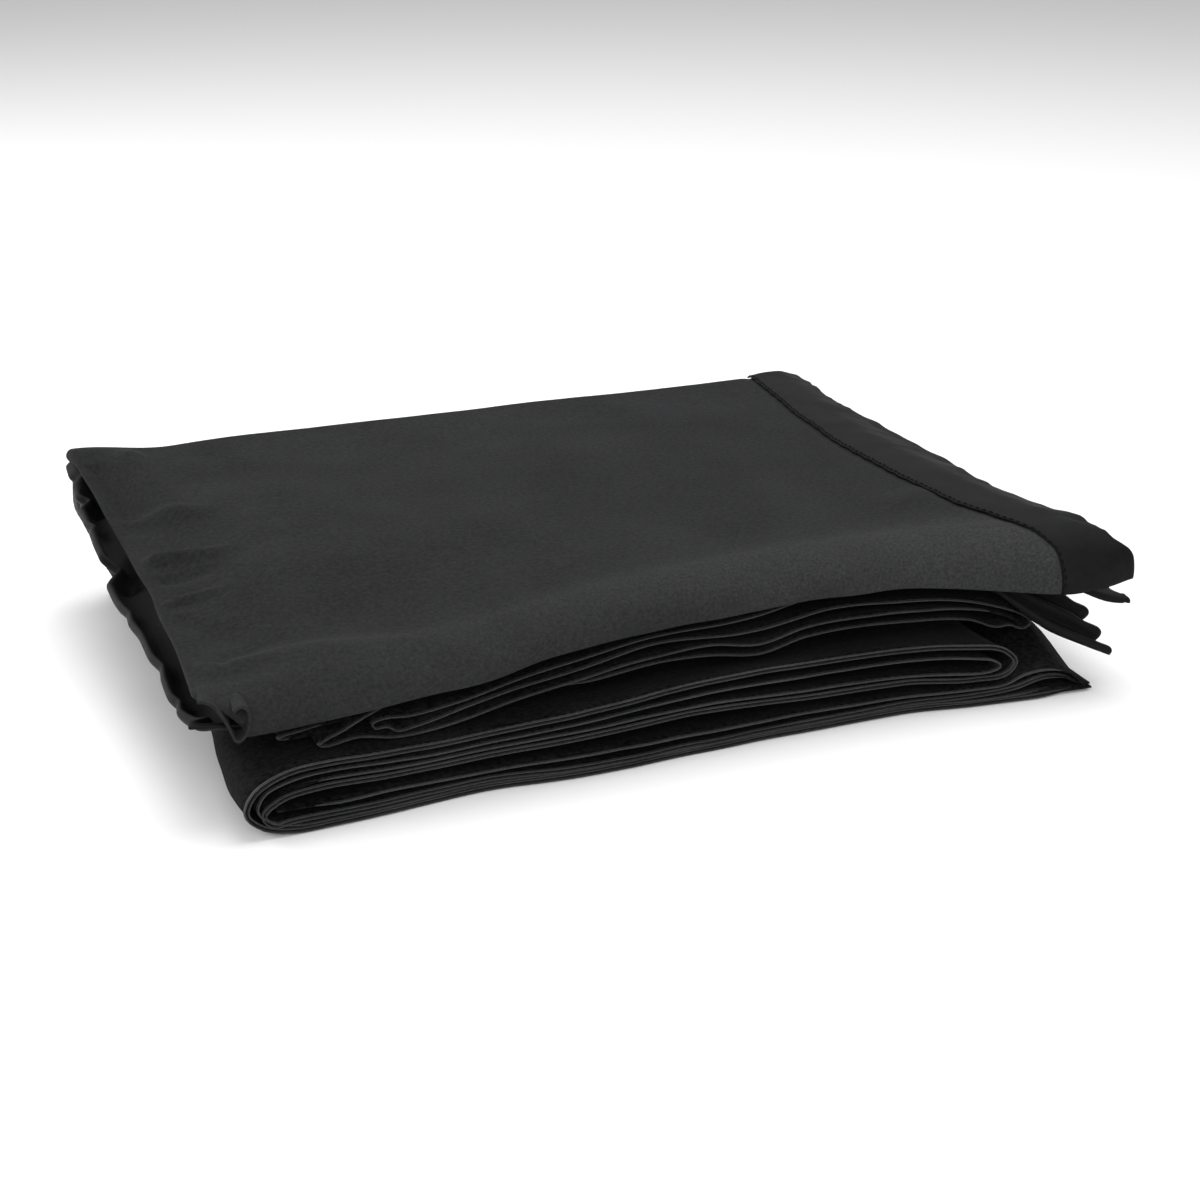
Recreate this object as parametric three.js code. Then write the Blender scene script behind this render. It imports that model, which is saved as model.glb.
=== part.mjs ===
// A hairdresser's cape, folded into a flat pile.
// Millimetres. X runs along the pile's length, -Y is its front and +Z is up.
// The origin is under the middle of the pile, on the surface it lies on.
//
// The cape is one hemmed sheet. It is folded to a strip, the strip is rolled and folded on itself into a
// lower half and an upper half, and the upper half is turned over on the lower one at the left. Each run
// of cloth through the pile is a solid of its own, as thick as the ply and the air it traps.

import * as THREE from 'three';

// ---------------------------------------------------------------- driving sizes

const pileLength = 370;
const pileDepth = 284;

const plyLoft = 2.5;
const plyGap = 0.6;
const restGap = 0.3;
const arcSteps = 8;

// Lower half: eight runs, from the surface up.
const lowerRuns = 8;
const lowerTipInset = 9;
const lowerInnerTipInset = 13;
const lowerRightLoopInset = 46;
const lowerLeftInset = 4;
const lowerInnerFoldInset = 35;
const lowerRunEndInset = 75;

// Upper half: twelve runs and the cover.
const upperRuns = 12;
const upperRightLoopInset = 26;
const upperLeftFoldInset = 15;
const upperSetback = 20;

// Rolled hems on the plies' front edges.
const hemWidth = 10;
const backInset = 4;

// The cover: top panel, front flap and the wide hem along its right side.
const flapHeight = 28;
const flapBend = 9;
const wideHemWidth = 30;
const secondHemDroop = 20;
const thirdHemDroop = 38;
const droopReach = 9;
const secondHemInset = 4;
const thirdHemInset = 2;

// How much of its droop a side hem has taken two reaches and one reach in from its edge.
const droopStart = 0.1;
const droopMiddle = 0.4;

// Thread.
const threadWidth = 0.8;
const threadHeight = 0.4;
const stitchInset = 1.5;

// The fold at the left that joins the two halves, and its hinge line.
const spineBelly = 15.75;
const spineFoot = 18;
const spineLip = 2;
const spineSetback = 10;

// Neck band, laid out flat round the neck opening.
const neckRadius = 66;
const neckBandWidth = 40;
const neckOpeningAngle = 36;
const neckCentreX = -8;
const neckCentreY = 6;
const neckLiningInset = 2;
const neckPly = 0.6;

// Press studs on the neck band.
const socketCount = 5;
const studCount = 2;
const studPitch = 19;
const studEndMargin = 14;
const socketRadius = 5;
const socketHeight = 1.3;
const socketWellRadius = 2.2;
const studRadius = 4.7;
const studBase = 0.6;
const studBallRadius = 1.8;
const studBallHeight = 1.7;
const capRadius = 5.5;
const capHeight = 0.7;

// Shapes of the fittings' profiles, as shares of their own radius or height.
const capFaceShare = 0.8;
const socketRimShare = 0.8;
const socketFloorShare = 0.3;
const studNeckShare = 0.75;
const studSwellShare = 0.6;

// How finely the neck band and the fittings are rounded.
const bandSegments = 24;
const fittingSegments = 16;

// Care label, sewn in beside the neck band.
const labelLength = 45;
const labelWidth = 28;
const labelLoft = 0.5;
const labelGap = 4;

// ---------------------------------------------------------------- levels and edges

const pitch = plyLoft + plyGap;
const left = -pileLength / 2;
const right = pileLength / 2;
const front = -pileDepth / 2;
const back = pileDepth / 2;

/** Height of the middle of a run in the lower half, counted from the surface. */
const lowerLevel = (run) => plyLoft / 2 + pitch * run;
const lowerTop = lowerLevel(lowerRuns - 1) + plyLoft / 2;

// The neck band lies on the lower half, and the upper half lies on its studs.
const capBase = lowerTop + restGap;
const neckLiningBase = capBase + capHeight + restGap;
const neckBandBase = neckLiningBase + neckPly + restGap;
const studSeat = neckBandBase + neckPly + restGap;
const studTop = studSeat + studBase + studBallHeight;
const upperBase = studTop + restGap;

/** Height of the middle of a run in the upper half, counted from its underside. */
const upperLevel = (run) => upperBase + plyLoft / 2 + pitch * run;
const coverLevel = upperLevel(upperRuns);
const coverTop = coverLevel + plyLoft / 2;

const coverFront = front + threadHeight + restGap;
const lowerFront = front + 2;
const upperFront = front + upperSetback;
const plyBack = back - backInset;
const coverRight = right - wideHemWidth - restGap;
const spineX = left + spineBelly + plyLoft / 2;

// ---------------------------------------------------------------- materials

/** Cloth and fittings, as three.js materials. */
const finish = (color, roughness, metalness = 0) =>
  new THREE.MeshStandardMaterial({ color, roughness, metalness });

const matteCloth = () => finish(0x2a2b2d, 0.95);
const satinCloth = () => finish(0x1b1c1f, 0.55);
const hemCloth = () => finish(0x202123, 0.75);
const threadCotton = () => finish(0x0e0e10, 0.8);
const bandCloth = () => finish(0x1e1f21, 0.85);
const studSteel = () => finish(0x2b2b2e, 0.35, 0.9);
const labelSatin = () => finish(0xd9d7d2, 0.6);

// ---------------------------------------------------------------- path and section helpers

/** Points of an elliptical turn about a centre, from one angle to another in degrees, ends included. */
function turn(centreX, centreZ, radiusX, radiusZ, fromDegrees, toDegrees) {
  const points = [];
  for (let step = 0; step <= arcSteps; step += 1) {
    const angle = THREE.MathUtils.degToRad(
      THREE.MathUtils.lerp(fromDegrees, toDegrees, step / arcSteps),
    );
    points.push(new THREE.Vector2(centreX + radiusX * Math.cos(angle), centreZ + radiusZ * Math.sin(angle)));
  }
  return points;
}

/** A half turn at the left, from one level up to another. */
function leftFold(x, lowLevel, highLevel) {
  const radius = (highLevel - lowLevel) / 2;
  return turn(x, (lowLevel + highLevel) / 2, radius, radius, 270, 90);
}

/** A half turn at the right, from one level to another, going down when the first is the higher one. */
function rightFold(x, startLevel, endLevel) {
  const radius = Math.abs(startLevel - endLevel) / 2;
  const startAngle = startLevel > endLevel ? 90 : -90;
  return turn(x, (startLevel + endLevel) / 2, radius, radius, startAngle, -startAngle);
}

const point = (x, z) => new THREE.Vector2(x, z);

/** The closed outline of a ribbon of even thickness along a path. */
function ribbonOutline(path, thickness) {
  const near = [];
  const far = [];
  path.forEach((here, index) => {
    const before = path[Math.max(index - 1, 0)];
    const after = path[Math.min(index + 1, path.length - 1)];
    const along = new THREE.Vector2().subVectors(after, before).normalize();
    const across = new THREE.Vector2(-along.y, along.x).multiplyScalar(thickness / 2);
    near.push(here.clone().add(across));
    far.push(here.clone().sub(across));
  });
  return new THREE.Shape([...near, ...far.reverse()]);
}

/** A named mesh. */
function piece(name, geometry, material) {
  const mesh = new THREE.Mesh(geometry, material);
  mesh.name = name;
  return mesh;
}

/** A ribbon whose path lies in the X-Z plane, as deep as the span from frontY to backY. */
function foldedRun(name, path, thickness, frontY, backY, material) {
  const geometry = new THREE.ExtrudeGeometry(ribbonOutline(path, thickness), {
    depth: backY - frontY,
    bevelEnabled: false,
  });
  geometry.rotateX(Math.PI / 2);
  geometry.translate(0, backY, 0);
  return piece(name, geometry, material);
}

/** A ribbon whose path lies in the Y-Z plane, as long as the span from startX to endX. */
function wrappedRun(name, path, thickness, startX, endX, material) {
  const geometry = new THREE.ExtrudeGeometry(ribbonOutline(path, thickness), {
    depth: endX - startX,
    bevelEnabled: false,
  });
  geometry.rotateZ(Math.PI / 2);
  geometry.rotateY(Math.PI / 2);
  geometry.translate(startX, 0, 0);
  return piece(name, geometry, material);
}

/** A ply between its hemmed front edge and the back, and the hem itself. */
function hemmedPly(plyName, hemName, path, frontY, material) {
  const hemBack = frontY + hemWidth;
  return [
    foldedRun(plyName, path, plyLoft, hemBack + restGap, plyBack, material),
    foldedRun(hemName, path, plyLoft, frontY, hemBack, hemCloth()),
  ];
}

// ---------------------------------------------------------------- lower half

const lowerRollX = left + lowerLeftInset + (lowerLevel(7) - lowerLevel(0)) / 2 + plyLoft / 2;
const lowerLoopX = right - lowerRightLoopInset - (lowerLevel(7) - lowerLevel(2)) / 2 - plyLoft / 2;

/** Outside ply: in from the right tip, round the left roll, back over the top and down a loop. */
function lowerOuterPath() {
  return [
    point(right - lowerTipInset, lowerLevel(0)),
    ...leftFold(lowerRollX, lowerLevel(0), lowerLevel(7)),
    ...rightFold(lowerLoopX, lowerLevel(7), lowerLevel(2)),
    ...leftFold(left + lowerInnerFoldInset, lowerLevel(2), lowerLevel(5)),
    point(right - lowerRunEndInset, lowerLevel(5)),
  ];
}

/** Inside ply: follows the outside one, one pitch within it at every fold. */
function lowerInnerPath() {
  return [
    point(right - lowerInnerTipInset, lowerLevel(1)),
    ...leftFold(lowerRollX, lowerLevel(1), lowerLevel(6)),
    ...rightFold(lowerLoopX, lowerLevel(6), lowerLevel(3)),
    ...leftFold(left + lowerInnerFoldInset, lowerLevel(3), lowerLevel(4)),
    point(right - lowerRunEndInset, lowerLevel(4)),
  ];
}

/** Stitching along the hem of the lower half's top run. */
function lowerHemThread() {
  const runStart = spineX + spineFoot + stitchInset;
  const runEnd = right - lowerRunEndInset;
  const height = lowerTop + restGap + threadHeight / 2;
  const path = [point(runStart, height), point(runEnd, height)];
  const seamY = lowerFront + hemWidth + restGap + stitchInset;
  return foldedRun('lower_hem_thread', path, threadHeight, seamY, seamY + threadWidth, threadCotton());
}

function lowerHalf() {
  return [
    ...hemmedPly('lower_outer_ply', 'lower_outer_hem', lowerOuterPath(), lowerFront, matteCloth()),
    ...hemmedPly('lower_inner_ply', 'lower_inner_hem', lowerInnerPath(), lowerFront, satinCloth()),
    lowerHemThread(),
  ];
}

// ---------------------------------------------------------------- neck band

/** Angle along the band, in radians from +X, at an arc distance from one of its two ends. */
function neckAngle(fromEnd, end) {
  const halfOpening = THREE.MathUtils.degToRad(neckOpeningAngle / 2);
  const seamRadius = neckRadius + neckBandWidth / 2;
  return end * (halfOpening + fromEnd / seamRadius);
}

/** A flat C-shaped strip round the neck opening. */
function neckStrip(name, innerRadius, outerRadius, endInset, base, height, material) {
  const start = neckAngle(endInset, 1);
  const end = 2 * Math.PI + neckAngle(endInset, -1);
  const outline = new THREE.Shape();
  outline.absarc(0, 0, outerRadius, start, end, false);
  outline.absarc(0, 0, innerRadius, end, start, true);
  outline.closePath();
  const geometry = new THREE.ExtrudeGeometry(outline, {
    depth: height,
    bevelEnabled: false,
    curveSegments: bandSegments,
  });
  geometry.translate(neckCentreX, neckCentreY, base);
  return piece(name, geometry, material);
}

/** A lathed fitting at each of several stations along the band, counted from one of its two ends. */
function fittingsAlongBand(name, profile, count, end, base, material) {
  const seamRadius = neckRadius + neckBandWidth / 2;
  const pieces = [];
  for (let index = 0; index < count; index += 1) {
    const angle = neckAngle(studEndMargin + studPitch * index, end);
    const fitting = new THREE.LatheGeometry(profile, fittingSegments);
    fitting.rotateX(Math.PI / 2);
    fitting.translate(
      neckCentreX + seamRadius * Math.cos(angle),
      neckCentreY + seamRadius * Math.sin(angle),
      base,
    );
    pieces.push(piece(`${name}_${index + 1}`, fitting, material));
  }
  return pieces;
}

/** Closed profile of a round cap, with its chamfered face down. */
function capProfile() {
  const rim = capRadius * capFaceShare;
  return [
    point(0, 0),
    point(rim, 0),
    point(capRadius, capHeight / 2),
    point(capRadius, capHeight),
    point(0, capHeight),
  ];
}

/** Closed profile of a socket, with the well that takes the stud's ball. */
function socketProfile() {
  const rim = socketRadius * socketRimShare;
  const floor = socketHeight * socketFloorShare;
  return [
    point(0, 0),
    point(socketRadius, 0),
    point(socketRadius, socketHeight / 2),
    point(rim, socketHeight),
    point(socketWellRadius, socketHeight),
    point(socketWellRadius, floor),
    point(0, floor),
  ];
}

/** Closed profile of a stud: a flat base and a necked ball. */
function studProfile() {
  const neck = studBallRadius * studNeckShare;
  return [
    point(0, 0),
    point(studRadius, 0),
    point(studRadius, studBase),
    point(neck, studBase),
    point(studBallRadius, studBase + studBallHeight * studSwellShare),
    point(neck, studBase + studBallHeight),
    point(0, studBase + studBallHeight),
  ];
}

/** Stitching round the outer edge of the neck band. */
function neckBandThread() {
  const outer = neckRadius + neckBandWidth - stitchInset;
  const base = neckBandBase + neckPly + restGap;
  return neckStrip('neck_band_thread', outer - threadWidth, outer, stitchInset, base, threadHeight, threadCotton());
}

/** Blank care label, on the lower half just inside the neck band. */
function careLabel() {
  const geometry = new THREE.BoxGeometry(labelLength, labelWidth, labelLoft);
  const labelX = neckCentreX - neckRadius + labelGap + labelLength / 2;
  geometry.translate(labelX, neckCentreY, lowerTop + restGap + labelLoft / 2);
  return piece('care_label', geometry, labelSatin());
}

function neckFittings() {
  const outer = neckRadius + neckBandWidth;
  const liningInner = neckRadius + neckLiningInset;
  const liningOuter = outer - neckLiningInset;
  return [
    neckStrip('neck_band', neckRadius, outer, 0, neckBandBase, neckPly, bandCloth()),
    neckStrip('neck_band_lining', liningInner, liningOuter, neckLiningInset, neckLiningBase, neckPly, satinCloth()),
    neckBandThread(),
    ...fittingsAlongBand('socket_cap', capProfile(), socketCount, 1, capBase, studSteel()),
    ...fittingsAlongBand('stud_socket', socketProfile(), socketCount, 1, studSeat, studSteel()),
    ...fittingsAlongBand('stud_cap', capProfile(), studCount, -1, capBase, studSteel()),
    ...fittingsAlongBand('press_stud', studProfile(), studCount, -1, studSeat, studSteel()),
    careLabel(),
  ];
}

// ---------------------------------------------------------------- upper half

const upperLoopX = right - upperRightLoopInset - (upperLevel(5) - upperLevel(0)) / 2 - plyLoft / 2;
const upperFoldX = left + upperLeftFoldInset + (upperLevel(10) - upperLevel(3)) / 2 + plyLoft / 2;
const upperEndX = coverRight - restGap;

/** One of three nested plies: in along a low run, round the right loop, back, round the left fold. */
function upperPlyPath(lowRun, loopRun, foldRun, startX) {
  return [
    point(startX, upperLevel(lowRun)),
    ...rightFold(upperLoopX, upperLevel(lowRun), upperLevel(loopRun)),
    ...leftFold(upperFoldX, upperLevel(loopRun), upperLevel(foldRun)),
    point(upperEndX, upperLevel(foldRun)),
  ];
}

/** The short double core, folded once at the left inside the others. */
function coreFoldPath() {
  return [
    point(upperEndX, upperLevel(6)),
    ...leftFold(upperFoldX, upperLevel(6), upperLevel(7)),
    point(upperEndX, upperLevel(7)),
  ];
}

/** A wide side hem that leaves its ply level and droops towards its edge. */
function droopingHem(name, run, droop, inset) {
  const edgeX = right - inset;
  const level = upperLevel(run);
  const path = [
    point(upperEndX + restGap + plyGap, level),
    point(edgeX - droopReach * 2, level - droop * droopStart),
    point(edgeX - droopReach, level - droop * droopMiddle),
    point(edgeX - plyLoft / 2, level - droop),
  ];
  return foldedRun(name, path, plyLoft, upperFront + plyGap, plyBack, satinCloth());
}

/** The cover's line in the Y-Z plane: along the top, round the front bend and down the flap. */
function coverPath(rise) {
  const flapY = coverFront + plyLoft / 2 - rise;
  const bendRadius = flapBend + rise;
  const bendY = coverFront + plyLoft / 2 + flapBend;
  const bendZ = coverLevel - flapBend;
  return [
    point(back, coverLevel + rise),
    ...turn(bendY, bendZ, bendRadius, bendRadius, 90, 180),
    point(flapY, coverTop - flapHeight),
  ];
}

/** The topstitching on the cover, just inside the wide side hem. */
function wideHemThread() {
  const rise = plyLoft / 2 + restGap + threadHeight / 2;
  const seamX = coverRight - stitchInset;
  return wrappedRun(
    'wide_hem_thread',
    coverPath(rise),
    threadHeight,
    seamX - threadWidth,
    seamX,
    threadCotton(),
  );
}

/** The fold at the left: from the cover, round a bellied turn, to a foot on the lower half. */
function spinePath() {
  const footLevel = lowerTop + restGap + plyLoft / 2;
  const middle = (coverLevel + footLevel) / 2;
  return [
    point(spineX + spineLip, coverLevel),
    ...turn(spineX, middle, spineBelly, coverLevel - middle, 90, 270),
    point(spineX + spineFoot, footLevel),
  ];
}

function upperHalf() {
  const hemmed = [
    ['upper_outer_ply', 'upper_outer_hem', upperPlyPath(0, 5, 8, upperFoldX), matteCloth()],
    ['upper_middle_ply', 'upper_middle_hem', upperPlyPath(1, 4, 9, upperFoldX), satinCloth()],
    ['upper_inner_ply', 'upper_inner_hem', upperPlyPath(2, 3, 10, upperFoldX), matteCloth()],
    ['upper_core_fold', 'upper_core_hem', coreFoldPath(), satinCloth()],
  ];
  const secondPath = [point(spineX + spineFoot, upperLevel(11)), point(upperEndX, upperLevel(11))];
  return [
    ...hemmed.flatMap(([ply, hem, path, cloth]) => hemmedPly(ply, hem, path, upperFront, cloth)),
    foldedRun('second_panel', secondPath, plyLoft, upperFront, plyBack, matteCloth()),
    droopingHem('second_side_hem', 11, secondHemDroop, secondHemInset),
    droopingHem('third_side_hem', 10, thirdHemDroop, thirdHemInset),
    wrappedRun('top_panel', coverPath(0), plyLoft, spineX + spineLip + restGap, coverRight, matteCloth()),
    wrappedRun('wide_side_hem', coverPath(0), plyLoft, coverRight + restGap, right, satinCloth()),
    wideHemThread(),
    foldedRun('spine_fold', spinePath(), plyLoft, front + spineSetback, plyBack, satinCloth()),
  ];
}

// ---------------------------------------------------------------- the cape

const cape = new THREE.Group();
cape.add(...lowerHalf(), ...neckFittings(), ...upperHalf());

export default cape;
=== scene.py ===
"""A hairdresser's cape, folded into a flat pile.

The cape is one hemmed sheet. It lies as a lower half and an upper half, joined by the fold at the left,
with the neck band and its press studs between them. Every ply is a thin sheet that follows its own line
through the pile, and its front edge carries a narrow rolled hem.

Lengths are in millimetres where a name says so or a class gives its sizes, and in metres in the meshes.
"""

import logging
import math
from dataclasses import dataclass, field
from enum import Enum
from typing import Callable, Sequence

import bmesh
import bpy
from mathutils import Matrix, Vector, noise


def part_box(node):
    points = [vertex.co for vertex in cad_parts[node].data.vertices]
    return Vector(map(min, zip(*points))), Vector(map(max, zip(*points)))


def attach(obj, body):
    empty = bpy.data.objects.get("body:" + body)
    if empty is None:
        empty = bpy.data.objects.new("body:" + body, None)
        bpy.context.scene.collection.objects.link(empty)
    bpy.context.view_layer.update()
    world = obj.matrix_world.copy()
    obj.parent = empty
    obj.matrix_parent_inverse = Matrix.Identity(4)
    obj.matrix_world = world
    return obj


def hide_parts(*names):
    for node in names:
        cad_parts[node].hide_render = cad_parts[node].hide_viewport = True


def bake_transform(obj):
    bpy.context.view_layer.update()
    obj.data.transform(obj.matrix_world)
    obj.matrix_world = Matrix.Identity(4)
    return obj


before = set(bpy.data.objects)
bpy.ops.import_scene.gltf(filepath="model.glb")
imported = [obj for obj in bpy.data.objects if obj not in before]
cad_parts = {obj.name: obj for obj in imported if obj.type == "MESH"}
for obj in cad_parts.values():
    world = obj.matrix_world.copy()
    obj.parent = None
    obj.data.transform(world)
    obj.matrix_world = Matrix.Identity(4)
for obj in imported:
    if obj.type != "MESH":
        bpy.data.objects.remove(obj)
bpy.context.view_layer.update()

MM = 0.001
MM_PER_METRE = 1000.0
LOG = logging.getLogger("cape")

Station = tuple[float, float]
Triple = tuple[float, float, float]
Socket = bpy.types.NodeSocket
Place = Callable[[float, float], Vector]


class Body(Enum):
    """The two halves of the pile that the last fold joins."""

    LOWER = "lower_half"
    UPPER = "upper_half"


# ------------------------------------------------------------------ curves and noise


def smooth(value: float) -> float:
    """Ease from 0 to 1, held flat outside that span.

    Args:
        value: Where along the span, 0 at its start and 1 at its end.

    Returns:
        The eased share.
    """
    share = min(max(value, 0.0), 1.0)
    return share * share * (3.0 - 2.0 * share)


def mix(low: float, high: float, share: float) -> float:
    """Blend two numbers.

    Args:
        low: Value at share 0.
        high: Value at share 1.
        share: How far from low to high.

    Returns:
        The blended number.
    """
    return low + (high - low) * share


def ripple(x: float, y: float, length: float, seed: float) -> float:
    """Smooth, repeatable unevenness, from about -1 to 1.

    Args:
        x: First place, in millimetres.
        y: Second place, in millimetres.
        length: Typical distance between one swell and the next.
        seed: Picks one pattern among many.

    Returns:
        The height of the pattern there.
    """
    return noise.noise(Vector((x / length, y / length, seed)))


@dataclass(frozen=True)
class Line:
    """A smooth curve of one number against another, through a few chosen stations."""

    stations: Sequence[Station]

    def at(self, x: float) -> float:
        """Height of the curve.

        Args:
            x: Where along the curve; held at its ends outside it.

        Returns:
            The value there.
        """
        points = self.stations
        if x <= points[0][0]:
            return points[0][1]
        if x >= points[-1][0]:
            return points[-1][1]
        index = 1
        while points[index][0] < x:
            index += 1
        (x0, y0), (x1, y1) = points[index - 1], points[index]
        before = points[max(index - 2, 0)]
        after = points[min(index + 1, len(points) - 1)]
        start = (y1 - before[1]) / (x1 - before[0]) * (x1 - x0)
        end = (after[1] - y0) / (after[0] - x0) * (x1 - x0)
        t = (x - x0) / (x1 - x0)
        low = (2 * t**3 - 3 * t**2 + 1) * y0 + (t**3 - 2 * t**2 + t) * start
        return low + (3 * t**2 - 2 * t**3) * y1 + (t**3 - t**2) * end


def spline(stations: Sequence[Station], steps: int = 14) -> list[Station]:
    """A rounded path through stations, as many short pieces.

    Args:
        stations: Points the path goes through.
        steps: Pieces between one station and the next.

    Returns:
        The points of the path, ends included.
    """
    points = [Vector((a, b, 0.0)) for a, b in stations]
    points = [points[0] * 2 - points[1]] + points + [points[-1] * 2 - points[-2]]
    path: list[Station] = []
    for p0, p1, p2, p3 in zip(points, points[1:], points[2:], points[3:]):
        span = max((p2 - p1).length, 1e-6)
        before = max((p1 - p0).length, 1e-6)
        after = max((p3 - p2).length, 1e-6)
        start = ((p1 - p0) / before + (p2 - p1) / span) * 0.5 * min(span, 3.0 * before)
        end = ((p2 - p1) / span + (p3 - p2) / after) * 0.5 * min(span, 3.0 * after)
        for step in range(steps):
            t = step / steps
            a = 2 * t**3 - 3 * t**2 + 1
            b = t**3 - 2 * t**2 + t
            c = -2 * t**3 + 3 * t**2
            d = t**3 - t**2
            spot = p1 * a + start * b + p2 * c + end * d
            path.append((spot.x, spot.y))
    path.append((points[-2].x, points[-2].y))
    return path


class FoldLine:
    """The line of one ply through the pile, seen from the front, measured along its length."""

    def __init__(self, stations: Sequence[Station]) -> None:
        """Round the path and measure it.

        Args:
            stations: Points (x, z) in millimetres that the ply passes through.
        """
        self.path = spline(stations)
        self.along = [0.0]
        for (x0, z0), (x1, z1) in zip(self.path, self.path[1:]):
            self.along.append(self.along[-1] + math.hypot(x1 - x0, z1 - z0))
        self.length = self.along[-1]
        self._last = 0

    def at(self, distance: float) -> Station:
        """Point of the line.

        Args:
            distance: Distance from the line's start, in millimetres.

        Returns:
            The point (x, z).
        """
        reach = min(max(distance, 0.0), self.length)
        index = self._last if self.along[self._last] <= reach else 0
        while index < len(self.along) - 2 and self.along[index + 1] < reach:
            index += 1
        self._last = index
        span = max(self.along[index + 1] - self.along[index], 1e-9)
        share = (reach - self.along[index]) / span
        (x0, z0), (x1, z1) = self.path[index], self.path[index + 1]
        return mix(x0, x1, share), mix(z0, z1, share)

    def normal(self, distance: float) -> Station:
        """Unit vector square to the line, to the left of its direction.

        Args:
            distance: Distance from the line's start, in millimetres.

        Returns:
            The vector's x and z.
        """
        x0, z0 = self.at(distance - 0.8)
        x1, z1 = self.at(distance + 0.8)
        size = max(math.hypot(x1 - x0, z1 - z0), 1e-9)
        return -(z1 - z0) / size, (x1 - x0) / size


# ------------------------------------------------------------------ materials


class Shader:
    """Builds one node material step by step."""

    def __init__(self, name: str, slot: str) -> None:
        """Start a material.

        Args:
            name: The material's name.
            slot: The record's material slot, kept on the shader but not used further.
        """
        self.slot = slot
        self.material = bpy.data.materials.new(name)
        self.material.use_nodes = True
        self.tree = self.material.node_tree
        self.surface = self.tree.nodes["Principled BSDF"]

    def node(self, kind: str, **values: object) -> bpy.types.Node:
        """Add a node.

        Args:
            kind: Blender's name for the node type.
            **values: Properties of the node, or inputs where the name is one of its sockets.

        Returns:
            The new node.
        """
        made = self.tree.nodes.new(kind)
        for key, value in values.items():
            if hasattr(made, key):
                setattr(made, key, value)
            else:
                made.inputs[key.replace("_", " ")].default_value = value
        return made

    def link(self, source: Socket, target: Socket) -> None:
        """Join two sockets."""
        self.tree.links.new(source, target)

    def ramp(self, source: Socket, low: float, high: float, dark: Triple, light: Triple) -> Socket:
        """Colours along a factor.

        Args:
            source: The factor.
            low: Where the dark colour ends.
            high: Where the light colour starts.
            dark: Linear red, green and blue at the low end.
            light: The same at the high end.

        Returns:
            The colour socket.
        """
        made = self.node("ShaderNodeValToRGB")
        made.color_ramp.elements[0].position = low
        made.color_ramp.elements[0].color = (*dark, 1.0)
        made.color_ramp.elements[1].position = high
        made.color_ramp.elements[1].color = (*light, 1.0)
        self.link(source, made.inputs["Fac"])
        return made.outputs["Color"]

    def bump(self, source: Socket, strength: float, depth: float, onto: Socket | None = None) -> Socket:
        """A bump layer.

        Args:
            source: Height, from 0 to 1.
            strength: Share of the bump that shows.
            depth: Height of the bump, in metres.
            onto: Normal socket of a layer beneath, if there is one.

        Returns:
            The normal socket.
        """
        made = self.node("ShaderNodeBump", Strength=strength, Distance=depth)
        self.link(source, made.inputs["Height"])
        if onto is not None:
            self.link(onto, made.inputs["Normal"])
        return made.outputs["Normal"]


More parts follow.
